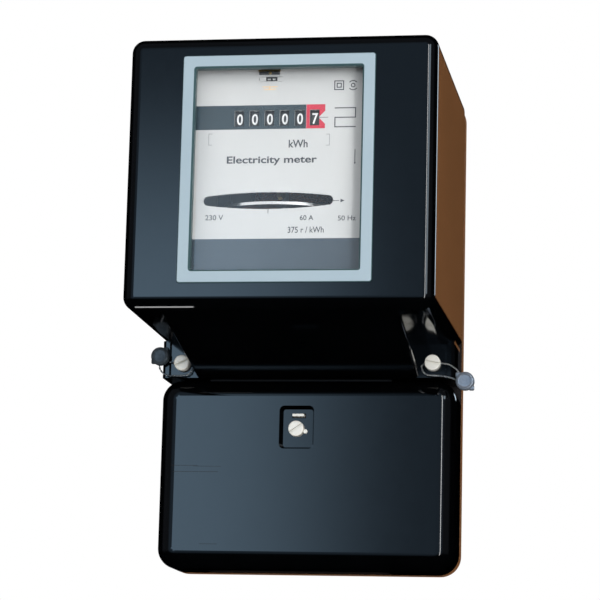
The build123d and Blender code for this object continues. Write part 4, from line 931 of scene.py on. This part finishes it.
dialWords = {
    "unitWord": ("kWh", 2.0, 60.7, 9.9, 64.0, 0.018),
    "plainWord": ("Electricity meter", -23.7, 53.3, 13.9, 57.3, 0.020),
    "voltWord": ("230 V", -32.0, 30.4, -24.5, 32.6, 0.008),
    "currentWord": ("60 A", 7.4, 30.1, 13.0, 32.2, 0.008),
    "frequencyWord": ("50 Hz", 23.1, 29.8, 30.5, 31.9, 0.008),
    "constantWord": ("375 r / kWh", 2.5, 24.8, 17.4, 27.4, 0.008),
}

makeBands(dialPrint)
makeRedMask(dialPrint)
makeMarks(dialLines, dialPrint)
makeArrowHeads(arrows)
makeRings(roundSymbol)
makeDialDetail(dialDetail)
for wordName, (words, left, low, right, high, weight) in dialWords.items():
    line = printWords(wordName, words, left, low, right, high, printHeight, weight)
    dress(line, "wordPrint")
    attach(line, "case")
print("dial printed")


# Digits round the number drums

digits = {
    "axisHeight": 96.9, "axisZ": 73.35, "radius": 9.5, "proud": 0.03,
    "high": 4.7, "wide": 2.5, "oneWide": 0.45, "weight": 0.02,
    "shown": (0, 0, 0, 0, 0, 7),
    "slices": 12,
}


def makeDigit(number, s):
    # A numeral laid round the drum, at the front and in the middle of a drum that stands at X = 0
    piece = flatWords(f"digit{number}", str(number), s["weight"])
    wide = s["wide"] * (s["oneWide"] if number == 1 else 1.0)
    piece.scale = (wide * mm / extent(piece, 0), s["high"] * mm / extent(piece, 1), 1)
    settle(piece)
    piece.location = (-wide / 2 * mm, -s["high"] / 2 * mm, 0)
    settle(piece)
    bpy.ops.object.mode_set(mode="EDIT")
    for k in range(1, s["slices"]):
        level = (k / s["slices"] - 0.5) * s["high"] * mm
        bpy.ops.mesh.select_all(action="SELECT")
        bpy.ops.mesh.bisect(plane_co=(0, level, 0), plane_no=(0, 1, 0))
    bpy.ops.object.mode_set(mode="OBJECT")
    radius = (s["radius"] + s["proud"]) * mm
    for v in piece.data.vertices:
        angle = v.co.y / radius
        v.co = Vector((v.co.x, -radius * cos(angle), radius * sin(angle)))
    return piece


def makeDrumDigits(s):
    numerals = [makeDigit(number, s) for number in range(10)]
    axis = Vector((0, -s["axisHeight"] * mm, s["axisZ"] * mm))
    for drum in range(dialPrint["drums"]):
        x = (dialPrint["firstDrum"] + drum * dialPrint["drumPitch"]) * mm
        ring = []
        for number in range(10):
            copy = numerals[number].copy()
            copy.data = numerals[number].data.copy()
            bpy.context.collection.objects.link(copy)
            turn = -(number - s["shown"][drum]) * 2 * pi / 10
            copy.rotation_euler = (turn, 0, 0)
            copy.location = axis + Vector((x, 0, 0))
            settle(copy)
            ring.append(copy)
        whole = joinAll(f"drumDigits{drum + 1}", ring)
        dress(whole, "whitePrint")
        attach(whole, f"drum_{drum + 1}")
    for numeral in numerals:
        bpy.data.objects.remove(numeral)


makeDrumDigits(digits)
print("digits on the drums")


# Sealing wires, two thin strands twisted together along each wire's route

wires = {
    "strand": 0.2, "apart": 0.19, "turnsPerMm": 0.32,
    "left": [(-64.6, -35.6, -13.6), (-62.7, -35.4, -15.0), (-60.4, -35.3, -17.2), (-50.1, -35.3, -17.2),
             (-50.4, -35.7, -20.2), (-51.8, -36.1, -22.4), (-54.8, -36.3, -22.8), (-58.2, -36.2, -22.9),
             (-61.6, -36.0, -22.8), (-64.2, -35.8, -21.2), (-65.4, -35.8, -18.6), (-65.0, -35.8, -15.6)],
    "right": [(68.4, -35.8, -23.8), (66.2, -35.7, -20.8), (63.6, -35.5, -18.5), (60.4, -35.3, -17.2),
              (50.1, -35.3, -17.2), (50.4, -35.7, -20.2), (52.0, -36.1, -22.4), (55.4, -36.3, -22.8),
              (59.0, -36.2, -22.9), (62.6, -36.0, -23.5), (65.8, -35.9, -24.7), (68.2, -35.8, -26.0)],
}


def routeCurve(name, points):
    curve = bpy.data.curves.new(name, "CURVE")
    curve.dimensions = "3D"
    curve.resolution_u = 24
    spline = curve.splines.new("NURBS")
    spline.points.add(len(points) - 1)
    for point, place in zip(spline.points, points):
        point.co = (place[0] * mm, place[1] * mm, place[2] * mm, 1)
    spline.order_u = 3
    spline.use_endpoint_u = True
    return curve


def makeTwistedWire(name, points, s):
    curve = routeCurve(name + "Route", points)
    guide = bpy.data.objects.new(name + "Route", curve)
    bpy.context.collection.objects.link(guide)
    bpy.context.view_layer.update()
    line = bpy.data.meshes.new_from_object(guide)
    path = [v.co.copy() for v in line.vertices]
    bpy.data.objects.remove(guide)
    strands = []
    for start in (0, pi):
        twisted = bpy.data.curves.new(name, "CURVE")
        twisted.dimensions = "3D"
        twisted.bevel_depth = s["strand"] * mm
        twisted.bevel_resolution = 2
        twisted.use_fill_caps = True
        spline = twisted.splines.new("POLY")
        fine = []
        run = 0.0
        across = None
        for k in range(len(path) - 1):
            ahead = (path[k + 1] - path[k]).normalized()
            if across is None:
                across = ahead.orthogonal().normalized()
            across = (across - ahead * across.dot(ahead)).normalized()
            other = ahead.cross(across)
            angle = start + 2 * pi * s["turnsPerMm"] * run / mm
            fine.append(path[k] + (across * cos(angle) + other * sin(angle)) * s["apart"] * mm)
            run += (path[k + 1] - path[k]).length
        spline.points.add(len(fine) - 1)
        for point, place in zip(spline.points, fine):
            point.co = (*place, 1)
        strand = bpy.data.objects.new(name, twisted)
        bpy.context.collection.objects.link(strand)
        selectOnly(strand)
        bpy.ops.object.convert(target="MESH")
        strands.append(bpy.context.object)
    whole = joinAll(name, strands)
    selectOnly(whole)
    bpy.ops.object.shade_smooth()
    return whole


for wireSide in ("left", "right"):
    wire = makeTwistedWire(f"twistedWire_{wireSide}", wires[wireSide], wires)
    dress(wire, "sealingWire")
    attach(wire, "case")
    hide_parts(f"seal_wire_{wireSide}")
print("sealing wires twisted")


# Tabs and rims of the pressed seals, and the eye beside the captive screw

sealDetail = {
    "left": {"centre": (-64.7, -14.4), "finish": "darkLead", "tabs": ((-67.5, -16.6), (-62.2, -11.6))},
    "right": {"centre": (69.2, -25.3), "finish": "paleLead", "tabs": ((66.2, -22.5), (72.0, -28.2))},
    "face": 38.3, "rimRadius": 2.9, "rimThick": 0.4, "rimSunk": 0.2, "rimSteps": (40, 8),
    "tab": 1.15, "tabBack": 35.6, "tabFront": 37.4, "tabEdge": 0.6, "smoothAngle": 40,
}
screwEye = {"place": (-0.4, -46.6), "radius": 1.0, "back": 31.2, "front": 32.4}


def makeSealDetail(side, s):
    seal = s[side]
    x, z = seal["centre"]
    deselectAll()
    bpy.ops.mesh.primitive_torus_add(major_radius=s["rimRadius"] * mm, minor_radius=s["rimThick"] * mm,
                                     major_segments=s["rimSteps"][0], minor_segments=s["rimSteps"][1],
                                     rotation=(pi / 2, 0, 0),
                                     location=(x * mm, -(s["face"] - s["rimSunk"]) * mm, z * mm))
    rim = bpy.context.object
    settle(rim)
    pieces = [rim]
    for tabX, tabZ in seal["tabs"]:
        tab = frontPlate("tab", tabX - s["tab"], tabZ - s["tab"], tabX + s["tab"], tabZ + s["tab"],
                         s["tabBack"], s["tabFront"])
        roundOff(tab, s["tabEdge"])
        pieces.append(tab)
    whole = joinAll(f"sealRim_{side}", pieces)
    bpy.ops.object.shade_smooth_by_angle(angle=radians(s["smoothAngle"]))
    dress(whole, seal["finish"])
    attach(whole, "case")


for sealSide in ("left", "right"):
    makeSealDetail(sealSide, sealDetail)
eye = frontDisc("screwEye", *screwEye["place"], screwEye["radius"], screwEye["back"], screwEye["front"])
dress(eye, "nickel")
eye.visible_glossy = False
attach(eye, "terminal_cover")
print("seals finished")


# Scratches on the left of the terminal cover, hair-fine strips just proud of its face

scratches = {
    "lines": ((-58.9, -62.0, -47.0, -61.86), (-49.0, -62.3, -36.7, -62.18), (-57.8, -64.7, -38.0, -64.55),
              (-45.3, -96.0, -37.5, -95.86)),
    "proud": 0.012, "sunk": 0.05,
}
coverFace = -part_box("terminal_cover")[0].y / mm


def makeScratches(s):
    lines = [frontPlate("scratch", *line, coverFace - s["sunk"], coverFace + s["proud"])
             for line in s["lines"]]
    marks = joinAll("coverScratches", lines)
    dress(marks, "scratchedMoulding")
    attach(marks, "terminal_cover")


makeScratches(scratches)
print("scratches drawn, cover face at", round(coverFace, 2))


# Smooth shading on the CAD pieces

smoothAngle = radians(28)
for node in nodes.values():
    if node.type == "MESH":
        selectOnly(node)
        bpy.ops.object.shade_smooth_by_angle(angle=smoothAngle)
